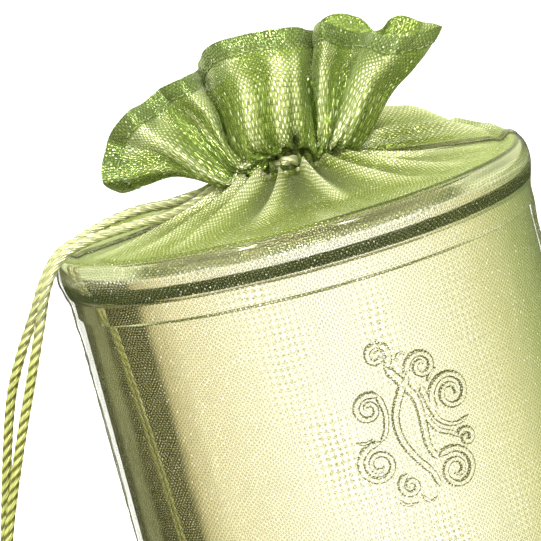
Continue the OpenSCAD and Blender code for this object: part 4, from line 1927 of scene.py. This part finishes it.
    def ground(self, name: str, inner: float, outer: float, height: float, shade: tuple[int, int, int]) -> None:
        """Lays a ring on the ground that only mirrors can see.

        Args:
            name: the ring's name.
            inner: its inner radius, in metres.
            outer: its outer radius.
            height: its height.
            shade: its colour.
        """
        sides = 64
        turn = np.linspace(0, math.tau, sides, endpoint=False)
        ring = np.stack([np.cos(turn), np.sin(turn), np.zeros_like(turn)], axis=1)
        points = np.concatenate([ring * inner, ring * outer]) + (0, 0, height)
        faces = [(i, (i + 1) % sides, sides + (i + 1) % sides, sides + i) for i in range(sides)]
        paint, _, glow = self.glow_paint(name + "_paint")
        glow.inputs["Color"].default_value = colour(*shade)
        self.mirror_only(mesh_from(name, points, faces), paint)

    def lamp(self, name: str, size: float, power: float, place: Point, tint: Point = (1.0, 1.0, 1.0)) -> None:
        """Hangs a square soft light that faces the object.

        Args:
            name: the light's name.
            size: its side, in metres.
            power: its power, in watts.
            place: where it hangs.
            tint: its colour.
        """
        bpy.ops.object.light_add(type="AREA", location=place)
        made = bpy.context.object
        made.name = name
        made.data.size = size
        made.data.energy = power
        made.data.color = tint
        aim = Vector((0, 0, 0.05)) - Vector(place)
        made.rotation_euler = aim.to_track_quat("-Z", "Y").to_euler()

    def build(self) -> None:
        """Sets up the whole studio."""
        scene = bpy.context.scene
        scene.view_settings.view_transform = "Standard"
        scene.cycles.transparent_max_bounces = 24
        world = bpy.data.worlds.new("studio")
        scene.world = world
        world.use_nodes = True
        world.node_tree.nodes["Background"].inputs["Color"].default_value = (1.0, 1.0, 0.98, 1.0)
        world.node_tree.nodes["Background"].inputs["Strength"].default_value = 0.55
        self.camera()
        self.floor()
        self.lamp("key", 0.5, 9.0, (-0.45, -0.7, 0.75), (1.0, 0.99, 0.95))
        self.lamp("fill", 0.9, 6.0, (0.9, -0.5, 0.7))
        self.lamp("top", 0.35, 5.0, (0.1, 0.25, 0.8), (1.0, 1.0, 0.94))
        self.lamp("spark_left", 0.03, 2.2, (-0.25, -0.45, 0.45), (1.0, 1.0, 0.9))
        self.lamp("spark_right", 0.03, 2.0, (0.2, -0.42, 0.4), (1.0, 1.0, 0.9))
        self.tent()
        self.ground("mirror_skirt", 0.0315, 0.04, 0.0564, (58, 72, 38))
        self.ground("mirror_ground", 0.02, 0.06, -0.002, (124, 128, 80))
        self.ground("mirror_far_ground", 0.06, 0.36, -0.39, (214, 212, 176))
        self.ground("mirror_roof", 0.0005, TENT_RADIUS, 0.355, self.roof)


# ---------------------------------------------------------------- assembly


def main() -> None:
    """Builds the gift sack in its studio."""
    logging.basicConfig(level=logging.INFO, format="%(name)s: %(message)s")
    weave = open_weave_group()
    wall = WovenFinish(
        "organza", (240, 240, 214), (166, 162, 108), (255, 255, 250), (232, 230, 194),
        solid=0.6, gap=0.05, width=0.42, metal=0.95, rough=0.25, relief=0.6, glitter=0.2, lattice=1.0,
    ).make(weave)  # fmt: skip
    top = WovenFinish(
        "organza_drawn", (204, 212, 112), (134, 150, 64), (255, 255, 240), (236, 238, 174),
        solid=0.97, gap=0.72, width=0.5, metal=0.7, rough=0.22, relief=0.6, glitter=0.3, threads=520.0,
    ).make(weave)  # fmt: skip
    frill = WovenFinish(
        "organza_gathered", (170, 188, 104), (130, 150, 70), (255, 255, 238), (210, 218, 148),
        solid=1.0, gap=0.88, width=0.55, metal=0.75, rough=0.22, relief=0.7, glitter=0.34, threads=460.0,
    ).make(weave)  # fmt: skip
    hem = WovenFinish(
        "organza_hem", (160, 176, 112), (118, 136, 76), (250, 252, 226), (200, 208, 150),
        solid=1.0, gap=0.92, width=0.6, metal=0.75, rough=0.25, relief=0.6, glitter=0.3, threads=460.0,
    ).make(weave)  # fmt: skip
    doubled = WovenFinish(
        "doubled_organza", (158, 172, 96), (108, 124, 62), (245, 248, 222), (190, 200, 140),
        solid=1.0, gap=0.85, width=0.6, relief=0.5, glitter=0.18,
    ).make(weave)  # fmt: skip
    seam = WovenFinish(
        "organza_seam", (150, 150, 100), (104, 104, 66), (220, 220, 180), (160, 160, 110),
        solid=0.8, gap=0.5, width=0.5, metal=0.95, rough=0.25, relief=0.5, glitter=0.12,
    ).make(weave)  # fmt: skip
    thread = PlainFinish("sewing_thread", (122, 126, 70)).make()
    # Dark olive for the ornament's flanks: painted shade.
    flank = PlainFinish("tinplate_flank_shade", (44, 48, 26), 0.5, 0.8)
    tin = Tin(TinFinish("tinplate", (246, 245, 236), 0.07).make(), flank.make())
    tin.body()
    tin.lid()
    tin.ornament()
    Sack(wall, top, doubled, seam, thread).build()
    Frill(frill, hem, PlainFinish("hem_thread", (160, 176, 104)).make()).build()
    Drawcord(CordFinish("metallic_cord", (206, 208, 130), (104, 106, 52), 3, 0.0044).make()).build()
    Studio().build()


if __name__ == "__main__":
    main()
